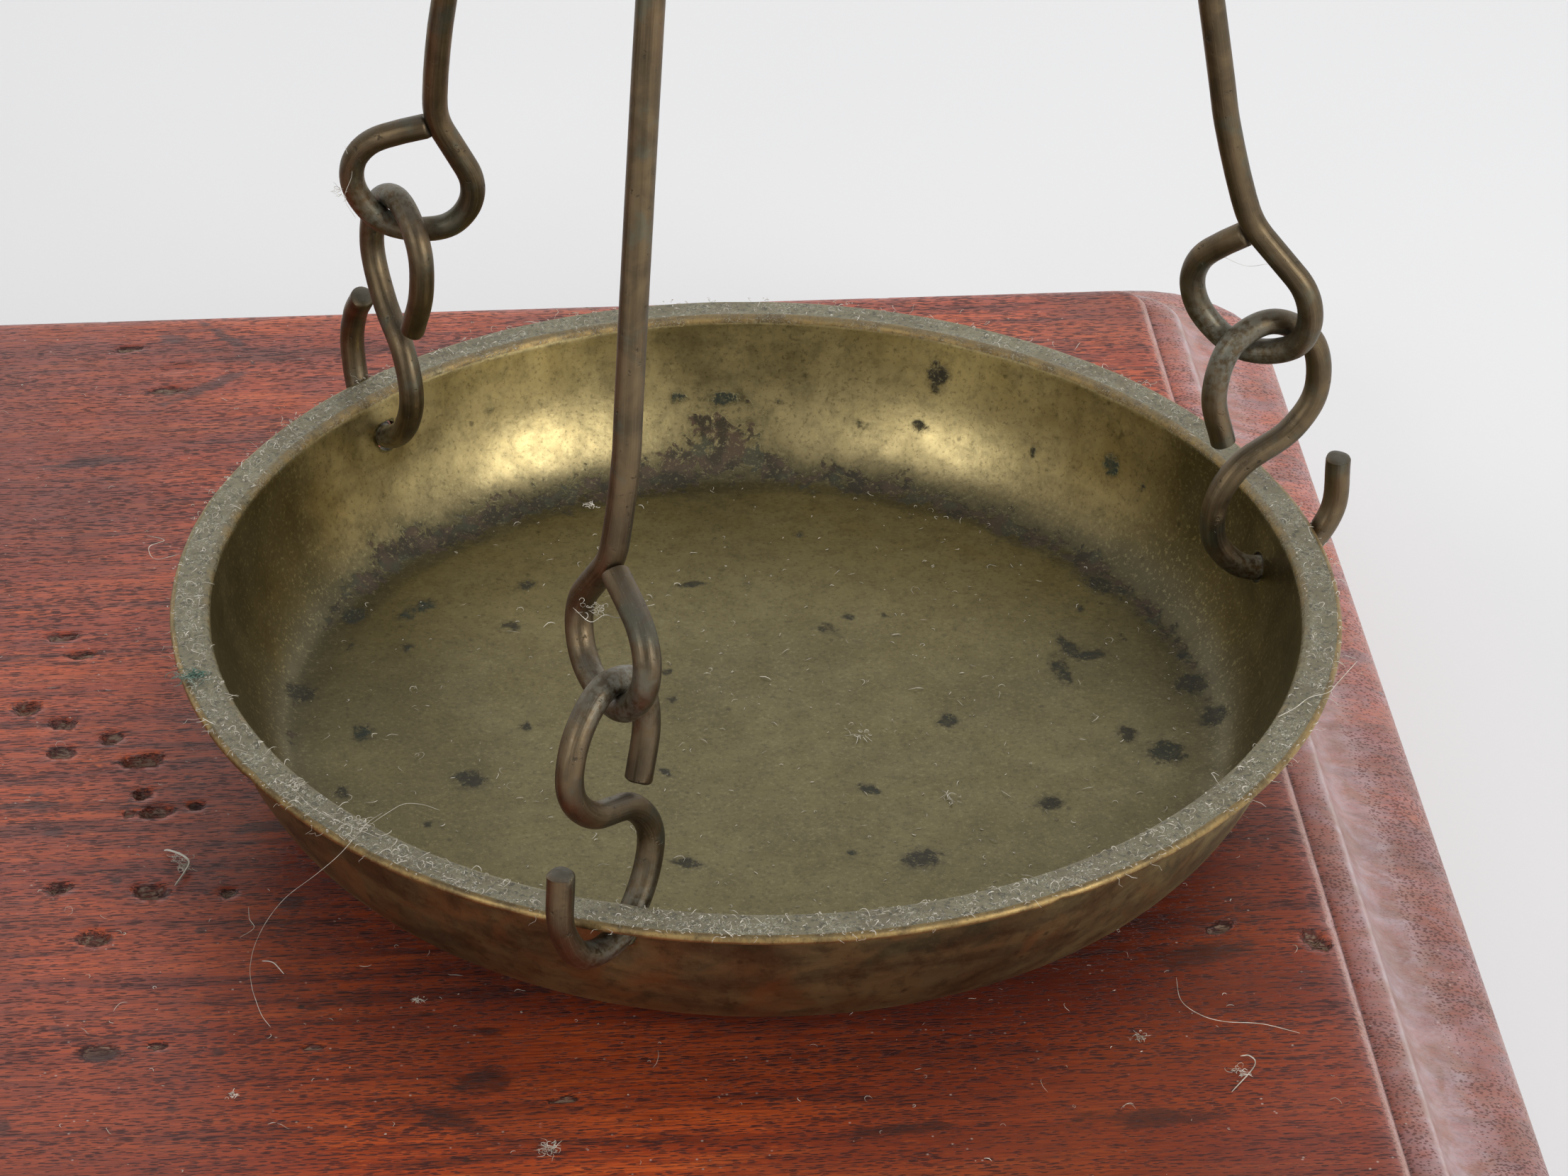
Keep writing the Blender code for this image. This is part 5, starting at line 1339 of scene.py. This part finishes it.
def build_fork():
    """Upright loop with its two bearing bushes."""
    seat = box_mm("column_capital")[1][2]
    pivot = PIVOT_HEIGHT
    outer = [(0.0, seat - 4.6), (3.6, seat - 4.6), (3.6, seat + 0.3), (6.0, seat + 0.3)]
    outer += smooth_flat([(6.2, seat + 0.4), (8.2, seat + 2.4), (9.3, pivot - 13.5), (9.5, pivot - 11.0)], 5)
    outer += [(9.5, pivot + z) for z in np.arange(-10.0, FORK_TOP - 5.5, 1.0)]
    outer += [tuple(p) for p in arc((0.0, pivot + FORK_TOP - 5.0), (9.5, 9.5), (3, 90), 20)]
    inner = [tuple(p) for p in arc((0.0, pivot - 10.0), (6.0, 6.0), (-90, -4), 18)]
    inner += [(6.0, pivot + z) for z in np.arange(-9.0, FORK_TOP - 5.5, 1.0)]
    inner += [tuple(p) for p in arc((0.0, pivot + FORK_TOP - 5.0), (6.0, 6.0), (3, 90), 20)]
    half = outer + inner[::-1]
    verts, faces, known = [], [], {}

    def corner(y, z, side):
        key = (round(y, 4), round(z, 4), side)
        if key not in known:
            known[key] = len(verts)
            verts.append((side * float(fork_half_width(z - pivot)), y, z))
        return known[key]

    for mirror in (1, -1):
        loop = [(mirror * y, z) for y, z in half]
        for side in (1, -1):
            faces.append([corner(y, z, side) for y, z in loop])
        for (y0, z0), (y1, z1) in zip(loop, loop[1:]):
            if abs(y0) + abs(y1) > 1e-6:
                faces.append([corner(y0, z0, 1), corner(y1, z1, 1), corner(y1, z1, -1), corner(y0, z0, -1)])
    fork = add_piece("look_bearing_fork", verts, faces, BRASS, "base", ["bearing_fork"], crease=40.0)
    bearing = middle("bearing_front")[2]
    carve(fork, [rod_cutter((0, -20, bearing), (0, 20, bearing), 4.3)])
    bevel(fork, 0.45, 3, 40.0)
    for name in ("bearing_front", "bearing_back"):
        low, high = box_mm(name)
        profile = rounded([(2.9, low[1]), (4.0, low[1]), (4.0, high[1]), (2.9, high[1])], 0.2, 3, closed=True)
        ringed, faces = lathe(profile, 64, ring=True)
        verts = np.column_stack([ringed[:, 0], ringed[:, 2], ringed[:, 1] + bearing])
        add_piece("look_" + name, verts, faces, STEEL, "base", [name], crease=60.0)


def on_beam(u, v, depth):
    """A place on the tilted beam: along it, above its knife line, and from front to back."""
    x = u * math.cos(REST_TILT) + v * math.sin(REST_TILT)
    z = -u * math.sin(REST_TILT) + v * math.cos(REST_TILT)
    return (x, depth, PIVOT_HEIGHT + z)


def knife(name, along, sign, half_length):
    """Five-sided hardened knife."""
    outline = [(0.0, 0.0), (1.8, -sign * 2.0), (1.8, -sign * 4.2), (-1.8, -sign * 4.2), (-1.8, -sign * 2.0)]
    verts, faces = prism([(along + u, v) for u, v in outline], -half_length, half_length, on_beam)
    bevel(add_piece("look_" + name, verts, faces, STEEL, "balance_beam", [name]), 0.15, 2)


def build_beam():
    """Filed brass beam with slots for the knives, pointer and its screw."""
    upper = smooth_flat([(0.0, 12.2), (4.0, 11.7), (8.0, 9.8), (12.0, 7.4), (20.0, 5.2), (40.0, 3.3),
                         (70.0, 1.3), (95.0, -0.3), (ARM - 6.0, -1.1)], 6)
    lower = smooth_flat([(ARM + 4.2, -1.3), (ARM + 5.8, -2.4), (ARM + 6.4, -4.6), (ARM + 5.2, -7.2),
                         (ARM + 2.0, -8.8), (ARM - 3.0, -8.8), (ARM - 8.0, -7.6), (ARM - 16.0, -6.9),
                         (80.0, -6.9), (60.0, -7.2), (30.0, -7.6), (16.0, -7.9), (6.0, -8.2)], 5)
    slot, floor = 2.1, -4.5
    side = upper + [(ARM - slot, -1.2), (ARM - slot, floor), (ARM + slot, floor), (ARM + slot, -1.2)]
    side += lower
    outline = side + [(-u, v) for u, v in reversed(side) if u > 0.0]
    verts, faces = prism(outline, -1.6, 1.6, on_beam)
    beam = add_piece("look_beam", verts, faces, BRASS, "balance_beam", ["beam"], origin=(0, 0, PIVOT_HEIGHT),
                     crease=30.0)
    window = [(0.0, -0.5), (slot, 1.9), (slot, 4.5), (-slot, 4.5), (-slot, 1.9)]
    verts, faces = prism(window, -5.0, 5.0, on_beam)
    screw_at = 8.6
    carve(beam, [cutter(verts, faces), rod_cutter(on_beam(0, screw_at, -5), on_beam(0, screw_at, 5), 1.4)])
    bevel(beam, 0.35, 3, 35.0)
    knife("beam_knife_centre", 0.0, -1.0, 9.2)
    knife("beam_knife_left", -ARM, 1.0, 5.6)
    knife("beam_knife_right", ARM, 1.0, 5.6)

    half = smooth_flat([(2.6, 6.2), (3.0, 7.4), (3.0, 8.8), (2.4, 10.8), (1.6, 13.6), (1.2, 18.0),
                        (0.9, 25.0), (0.5, 31.0), (0.12, 33.8)], 5)
    outline = half + [(-u, v) for u, v in reversed(half)]
    verts, faces = prism(outline, -3.1, -1.9, on_beam)
    tongue = add_piece("look_tongue", verts, faces, BRASS, "balance_beam", ["tongue"],
                       origin=(0, 0, PIVOT_HEIGHT))
    carve(tongue, [rod_cutter(on_beam(0, screw_at, -8), on_beam(0, screw_at, 0), 1.4)])
    bevel(tongue, 0.2, 2, 35.0)
    profile = [(0.0, -4.6), (1.0, -4.55), (1.7, -4.2), (2.1, -3.75), (2.1, -3.4), (1.1, -3.4), (1.1, 1.6),
               (0.0, 1.6)]
    ringed, faces = lathe(rounded(profile, 0.15, 3), 40)
    verts = np.array([on_beam(x, screw_at + y, z) for x, y, z in ringed])
    screw = add_piece("look_tongue_screw", verts, faces, STEEL, "balance_beam", ["tongue_screw"])
    turn = math.radians(28.0)

    def turned_place(u, v, depth):
        across = u * math.cos(turn) - v * math.sin(turn)
        return on_beam(across, screw_at + u * math.sin(turn) + v * math.cos(turn), depth)

    slit = [(-3, -0.28), (3, -0.28), (3, 0.28), (-3, 0.28)]
    carve(screw, [cutter(*prism(slit, -5.2, -4.05, turned_place))])


def rounded_loop(half_x, half_y, radius, steps=12):
    """A rectangle with rounded corners, as a closed run of points."""
    out = []
    for sx, sy, start in ((1, 1, 0), (-1, 1, 90), (-1, -1, 180), (1, -1, 270)):
        out += list(arc((sx * (half_x - radius), sy * (half_y - radius)), (radius, radius),
                        (start, start + 90), steps))
    return np.array(out)


def build_hanger(side):
    """Stirrup, its plane, the hook below it and the ring."""
    low, high = box_mm("stirrup_" + side)
    centre = (low + high) / 2
    loop = rounded_loop(8.0, (high[2] - low[2] - 3.0) / 2, 4.0)
    path = np.column_stack([np.full(len(loop), centre[0]), loop[:, 0], centre[2] + loop[:, 1]])
    dense = []
    for a, b in zip(path, np.roll(path, -1, axis=0)):
        parts = max(1, int(np.linalg.norm(b - a) / 1.2))
        dense += [a + (b - a) * k / parts for k in range(parts)]
    seed = 61 if side == "right" else 67
    verts, faces, fields = wire(dense, 1.5, seed, closed=True, unevenness=0.01, nips=3)
    add_piece("look_stirrup_" + side, verts, faces, WIRE_BRASS, side + "_stirrup", ["stirrup_" + side],
              origin=centre, fields=fields)
    low, high = box_mm("stirrup_plane_" + side)
    outline = [(low[0], low[1]), (high[0], low[1]), (high[0], high[1]), (low[0], high[1])]
    verts, faces = prism(rounded(outline, 0.6, 3, closed=True), low[2], high[2], lambda u, v, d: (u, v, d))
    node = "stirrup_plane_" + side
    bevel(add_piece("look_" + node, verts, faces, STEEL, side + "_stirrup", [node]), 0.2, 2)

    low, high = box_mm("hanger_hook_" + side)
    bar = high[2] - 1.2 - 4.2 + 1.15
    drop = 15.85
    eye = arc((0.0, -1.15), (4.2, 4.2), (-62, 236), 16)
    curl = arc((0.0, -drop + 4.0), (4.0, 4.0), (10, -200), 14)
    flat = np.vstack([eye, [(-0.5, -6.9), (2.4, -8.5)], curl])
    path = np.column_stack([PAN_CENTRE[side][0] + MIRROR[side] * flat[:, 0], np.zeros(len(flat)),
                            bar + flat[:, 1]])
    verts, faces, fields = wire(evened(smooth_path(path, 4), 0.45, 0.4), 1.2, seed + 1)
    add_piece("look_hanger_hook_" + side, verts, faces, WIRE_BRASS, side + "_hook", ["hanger_hook_" + side],
              origin=middle("hanger_hook_" + side), fields=fields)

    centre = middle("hanger_ring_" + side)
    angles = np.linspace(0.0, 2.0 * math.pi, 96, endpoint=False)
    path = centre + np.column_stack([0 * angles, RING_RADIUS * np.cos(angles), RING_RADIUS * np.sin(angles)])
    verts, faces, fields = wire(path, 1.2, seed + 2, closed=True, nips=3)
    add_piece("look_hanger_ring_" + side, verts, faces, WIRE_BRASS, side + "_pan", ["hanger_ring_" + side],
              origin=centre, fields=fields)


# ---------------------------------------------------------------- lint and hairs

def fibre_mesh(paths, radii):
    """Many thin three-sided fibres as one mesh."""
    verts, faces = [], []
    count = 0
    for path, radius in zip(paths, radii):
        path = np.asarray(path, dtype=float)
        run = np.gradient(path, axis=0)
        run /= np.maximum(np.linalg.norm(run, axis=1), 1e-9)[:, None]
        side = np.cross(run, UP)
        side /= np.maximum(np.linalg.norm(side, axis=1), 1e-9)[:, None]
        over = np.cross(side, run)
        taper = radius * np.clip(np.minimum(np.arange(len(path)), np.arange(len(path))[::-1]) * 0.5 + 0.35,
                                 0.0, 1.0)
        for k in range(3):
            turn = 2.0 * math.pi * k / 3.0
            verts.append(path + (math.cos(turn) * side + math.sin(turn) * over) * taper[:, None])
        steps = len(path)
        index = count + np.arange(3 * steps).reshape(3, steps)
        for k in range(3):
            a, b = index[k], index[(k + 1) % 3]
            faces += np.stack([a[:-1], a[1:], b[1:], b[:-1]], axis=1).tolist()
        faces += [index[:, 0].tolist(), index[::-1, -1].tolist()]
        count += 3 * steps
    return np.vstack(verts), faces


def curl(draws, start, length, steps=7, bend=0.9, lift=0.25):
    """A short fibre that curls about on a surface."""
    heading, turn = draws.uniform(0.0, 2.0 * math.pi), draws.normal(0.0, bend)
    pace = length / (steps - 1)
    path = [np.array(start)]
    for k in range(steps - 1):
        heading += turn + draws.normal(0.0, 0.35 * bend)
        rise = lift * length * math.sin(math.pi * (k + 1) / (steps - 1)) - (path[-1][2] - start[2])
        path.append(path[-1] + np.array([math.cos(heading) * pace, math.sin(heading) * pace, rise]))
    return path


# Long hairs: on the wood or above the rim of the right pan, radius, and places from the pan's centre
BOARD_BELOW = BOARD_TOP - PAN_CENTRE["right"][2]
HAIRS = [("rim", 0.026, [(-35.9, -34.6, 0.2), (-37.2, -36.4, 0.5), (-38.4, -38.3, 0.3), (-39.9, -39.4, -0.8),
                         (-42.0, -38.3, -3.6), (-44.6, -34.7, -8.4), (-46.4, -32.5, -12.4),
                         (-47.7, -30.7, -16.4), (-48.3, -30.4, -19.2), (-48.2, -32.0, -20.2),
                         (-47.9, -33.8, -20.2), (-47.3, -36.4, -20.2), (-46.5, -38.2, -20.2)]),
         ("rim", 0.016, [(-37.0, -36.2, 0.15), (-35.4, -35.0, 0.5), (-34.0, -34.4, 0.9), (-32.4, -34.6, 0.9),
                         (-30.9, -35.0, 0.5)]),
         ("rim", 0.016, [(-45.2, -28.6, 0.1), (-43.6, -31.0, 0.5), (-42.0, -33.6, 0.3), (-39.4, -36.2, 0.4),
                         (-36.2, -38.6, 0.3)]),
         ("rim", 0.03, [(-54.2, 9.0, 0.2), (-56.4, 7.2, 0.9), (-57.0, 9.2, 1.0), (-55.6, 10.8, 0.7),
                        (-57.4, 12.0, 0.6)]),
         ("wood", 0.11, [(-56.4, -10.4, 0.1), (-55.8, -10.9, 0.4), (-54.6, -11.9, 0.5), (-54.0, -13.2, 0.6),
                         (-54.5, -14.6, 0.4), (-55.3, -16.2, 0.2)]),
         ("rim", 0.035, [(45.3, -25.0, 0.1), (47.1, -24.0, 0.4), (48.7, -22.2, 0.2), (50.5, -21.9, 0.5),
                         (51.7, -20.1, 0.3), (54.0, -17.4, 0.8)]),
         ("wood", 0.03, [(35.4, -36.4, 0.1), (35.3, -39.9, 0.15), (36.7, -42.1, 0.15), (38.7, -43.3, 0.2),
                         (42.0, -43.8, 0.15), (45.2, -45.3, 0.1)]),
         ("wood", 0.06, [(39.3, -48.2, 0.1), (40.1, -48.5, 0.3), (40.3, -49.9, 0.3), (37.7, -53.2, 0.1)]),
         ("wood", 0.03, [(-48.5, -19.8, 0.1), (-48.4, -22.0, 0.3), (-48.0, -23.4, 0.3), (-49.3, -24.5, 0.1)]),
         ("wood", 0.05, [(-47.3, -28.2, 0.1), (-46.6, -28.6, 0.3), (-46.1, -29.0, 0.3), (-45.3, -30.3, 0.1)]),
         ("rim", 0.02, [(41.4, 12.6, 27.8), (43.6, 11.2, 28.2), (46.4, 9.6, 27.6), (49.2, 8.4, 28.4),
                        (52.4, 6.8, 27.8)]), ("rim", 0.03,
                                              [(-19.6, -46.4, 28.6), (-18.2, -46.8, 27.4),
                                               (-17.0, -46.6, 27.9), (-15.8, -46.0, 27.2),
                                               (-14.4, -45.4, 27.6)]),
         ("rim", 0.025, [(-37.2, 33.8, 30.2), (-36.6, 33.2, 27.6), (-37.4, 33.0, 25.0), (-36.4, 32.8, 22.8)]),
         ]
# Small balls of fluff: on the wood or in the pan and its wires, middle, half size, how many fibres
FLUFF = [("wood", (-54.4, -13.6, 0.4), 0.6, 60), ("wood", (-33.3, -35.1, 0.3), 0.5, 26),
         ("wood", (-54.9, -12.0, 0.3), 0.8, 26), ("wood", (-49.8, -47.6, 0.2), 0.5, 18),
         ("wood", (-22.6, -57.0, 0.3), 0.9, 34), ("wood", (39.0, -50.5, 0.2), 0.9, 20),
         ("wood", (30.8, -45.0, 0.2), 0.6, 20), ("rim", (10.0, -3.0, -15.2), 1.1, 12),
         ("rim", (17.0, -14.0, -15.2), 1.2, 10), ("rim", (-17.6, -46.4, 28.2), 1.1, 18),
         ("rim", (-14.0, -45.4, 28.0), 0.8, 10), ("rim", (-18.0, -46.0, 38.2), 0.6, 12),
         ("rim", (-38.0, 33.6, 25.4), 1.0, 12), ("rim", (-37.6, -36.4, 0.3), 0.8, 20),
         ("rim", (-43.6, -30.0, 0.3), 0.8, 22)]


def build_lint():
    """Dust fibres on the rims, in the pans and on the board, a few hairs and balls of fluff."""
    few = 1.0
    for side in ("right", "left"):
        draws = np.random.default_rng(401 if side == "right" else 402)
        paths, radii = [], []
        for _ in range(int(3000 * few)):
            turn = draws.uniform(-math.pi, math.pi)
            crowd = 0.45 + 0.55 * math.cos(turn - math.radians(-135.0))
            if draws.uniform() > 0.35 + 0.65 * crowd:
                continue
            reach = draws.uniform(51.7, 55.1)
            start = (reach * math.cos(turn), reach * math.sin(turn), draws.uniform(0.0, 0.12))
            paths.append(curl(draws, start, draws.gamma(1.8, 0.30), 6, 0.9, 0.22))
            radii.append(draws.uniform(0.018, 0.040))
        for _ in range(int(620 * few)):
            reach, turn = 44.0 * math.sqrt(draws.uniform()), draws.uniform(0.0, 2.0 * math.pi)
            start = (reach * math.cos(turn), reach * math.sin(turn), -15.36)
            paths.append(curl(draws, start, draws.gamma(2.0, 0.26), 5, 0.7, 0.12))
            radii.append(draws.uniform(0.016, 0.036))
        for _ in range(int(60 * few)):
            turn = draws.uniform(-math.pi, math.pi)
            start = (55.0 * math.cos(turn), 55.0 * math.sin(turn), -0.3)
            path = [np.array(start)]
            for _ in range(5):
                path.append(path[-1] + np.array([math.cos(turn), math.sin(turn), 0.0])
                            * draws.uniform(0.05, 0.35) + draws.normal(0.0, 0.16, 3))
            paths.append(path)
            radii.append(draws.uniform(0.012, 0.025))
        verts, faces = fibre_mesh(paths, radii)
        add_piece("look_lint_pan_" + side, place(verts, side), faces, LINT, side + "_pan",
                  origin=PAN_CENTRE[side])
    draws = np.random.default_rng(403)
    paths, radii = [], []
    for _ in range(int(900 * few)):
        near = draws.uniform() < 0.6
        start = (draws.uniform(30.0 if near else -160.0, 162.0), draws.uniform(-88.0, 88.0), BOARD_TOP + 0.02)
        if math.hypot(start[0], start[1]) < 27.0:
            continue
        paths.append(curl(draws, start, draws.gamma(1.8, 0.34), 6, 0.6, 0.10))
        radii.append(draws.uniform(0.015, 0.035))
    hairs = {"base": (paths, radii), "right_pan": ([], [])}
    for seat, radius, points in HAIRS:
        below = BOARD_BELOW if seat == "wood" else 0.0
        path = smooth_path([(x, y, z + below) for x, y, z in points], 6) + PAN_CENTRE["right"]
        kind = "base" if seat == "wood" else "right_pan"
        hairs[kind][0].append(path)
        hairs[kind][1].append(radius)
    flattened = np.array([1, 1, 0.25])
    for seat, (x, y, z), half, count in FLUFF:
        kind, below = ("base", BOARD_BELOW) if seat == "wood" else ("right_pan", 0.0)
        for _ in range(count):
            start = PAN_CENTRE["right"] + np.array((x, y, z + below))
            start = start + draws.normal(0.0, 0.45, 3) * half * flattened
            hairs[kind][0].append(curl(draws, start, half * draws.uniform(0.6, 1.6), 7, 0.7, 0.1))
            hairs[kind][1].append(draws.uniform(0.015, 0.035))
    for kind, (paths, radii) in hairs.items():
        verts, faces = fibre_mesh(paths, radii)
        add_piece("look_hairs_" + kind, verts, faces, LINT, kind, origin=PAN_CENTRE["right"])
    # a green thread end caught on the rim at the left
    paths, radii = [], []
    caught, loose = np.array([-52.6, -11.9, 0.15]), np.array([1.2, 0.7, 0.25])
    for _ in range(46):
        start = PAN_CENTRE["right"] + caught + draws.normal(0.0, 0.5, 3) * loose
        paths.append(curl(draws, start, draws.uniform(0.8, 2.2), 7, 0.6, 0.15))
        radii.append(draws.uniform(0.03, 0.06))
    verts, faces = fibre_mesh(paths, radii)
    add_piece("look_thread_right_pan", verts, faces, LINT_GREEN, "right_pan", origin=PAN_CENTRE["right"])


build_board()
build_feet()
build_column()
build_fork()
build_beam()
CROSSINGS = hook_crossings()
for pan_side in ("right", "left"):
    build_hanger(pan_side)
    build_pan(pan_side, CROSSINGS)
    build_strands(pan_side)
build_lint()


# ---------------------------------------------------------------- camera, light, floor

# How bright the surroundings are at each height, in front and behind: (height, value)
FRONT_SKY = ((0.0, 0.40), (0.30, 0.34), (0.60, 0.24), (1.0, 0.30))
BACK_SKY = ((0.0, 0.92), (0.47, 0.90), (0.62, 0.34), (1.0, 0.30))
# Lamps round the right pan: name, azimuth, elevation, distance in metres, size in metres, watts
LAMPS = (("softbox_right", 45.0, 24.0, 1.3, (0.42, 0.60), 6.8),
         ("softbox_left", -45.0, 27.0, 1.3, (0.42, 0.60), 3.4),
         ("overhead", 95.0, 74.0, 1.6, (1.2, 1.2), 15.4))


def build_floor():
    """Large pale floor."""
    mesh = bpy.data.meshes.new("stage_floor")
    reach = 12.0
    corners = [(-reach, -reach, 0), (reach, -reach, 0), (reach, reach, 0), (-reach, reach, 0)]
    mesh.from_pydata(corners, [], [(0, 1, 2, 3)])
    floor = bpy.data.objects.new("stage_floor", mesh)
    mesh.materials.append(FLOOR)
    bpy.context.scene.collection.objects.link(floor)


def build_world():
    """Surroundings that are darker in front than behind."""
    world = bpy.data.worlds.new("studio")
    world.use_nodes = True
    tree = world.node_tree
    add, link = tree.nodes.new, tree.links.new
    where, split = add("ShaderNodeTexCoord"), add("ShaderNodeSeparateXYZ")
    link(where.outputs["Generated"], split.inputs[0])
    share = add("ShaderNodeMapRange")
    share.interpolation_type = "SMOOTHSTEP"
    link(split.outputs[1], share.inputs[0])
    share.inputs[1].default_value = -0.45
    share.inputs[2].default_value = 0.35
    blend = add("ShaderNodeMix")
    blend.data_type = "RGBA"
    link(share.outputs[0], blend.inputs[0])
    for socket, stops in ((6, FRONT_SKY), (7, BACK_SKY)):
        band = add("ShaderNodeValToRGB")
        link(split.outputs[2], band.inputs[0])
        while len(band.color_ramp.elements) < len(stops):
            band.color_ramp.elements.new(0.5)
        for element, (at, value) in zip(band.color_ramp.elements, stops):
            element.position = at
            element.color = (value * 0.98, value * 0.985, value, 1.0)
        link(band.outputs[0], blend.inputs[socket])
    sky = tree.nodes["Background"]
    link(blend.outputs[2], sky.inputs["Color"])
    sky.inputs["Strength"].default_value = 1.0
    bpy.context.scene.world = world


def build_lamps():
    """Two softboxes in front of the pan and one large lamp above it."""
    target = Vector(PAN_CENTRE["right"] * MM)
    for name, azimuth, elevation, distance, size, power in LAMPS:
        a, e = math.radians(azimuth), math.radians(elevation)
        way = Vector((math.sin(a) * math.cos(e), -math.cos(a) * math.cos(e), math.sin(e)))
        data = bpy.data.lights.new(name, "AREA")
        data.shape = "RECTANGLE"
        data.size, data.size_y = size
        data.energy = power
        lamp = bpy.data.objects.new(name, data)
        lamp.location = target + way * distance
        lamp.visible_glossy = name != "overhead"
        lamp.rotation_euler = (-way).to_track_quat("-Z", "Y").to_euler()
        bpy.context.scene.collection.objects.link(lamp)


def build_camera():
    """The close view of the right pan from the front, above."""
    elevation, azimuth, roll = math.radians(32.784), math.radians(5.675), math.radians(-1.038)
    ahead = np.array([math.sin(azimuth) * math.cos(elevation), math.cos(azimuth) * math.cos(elevation),
                      -math.sin(elevation)])
    right = np.array([math.cos(azimuth), -math.sin(azimuth), 0.0])
    up = np.cross(right, ahead)
    local_x = math.cos(roll) * right - math.sin(roll) * up
    local_y = math.sin(roll) * right + math.cos(roll) * up
    distance, shift_x, shift_y = 467.36, 2.547, -0.099
    spot = PAN_CENTRE["right"] - ahead * distance + local_x * shift_x + local_y * shift_y
    data = bpy.data.cameras.new("camera")
    data.sensor_width = 36.0
    data.lens = 113.92
    data.clip_start = 0.01
    data.clip_end = 20.0
    camera = bpy.data.objects.new("camera", data)
    turn = Matrix((local_x, local_y, -ahead)).transposed()
    camera.matrix_world = Matrix.Translation(Vector(spot * MM)) @ turn.to_4x4()
    bpy.context.scene.collection.objects.link(camera)
    bpy.context.scene.camera = camera


build_floor()
build_world()
build_lamps()
build_camera()
bpy.context.scene.view_settings.view_transform = "Standard"
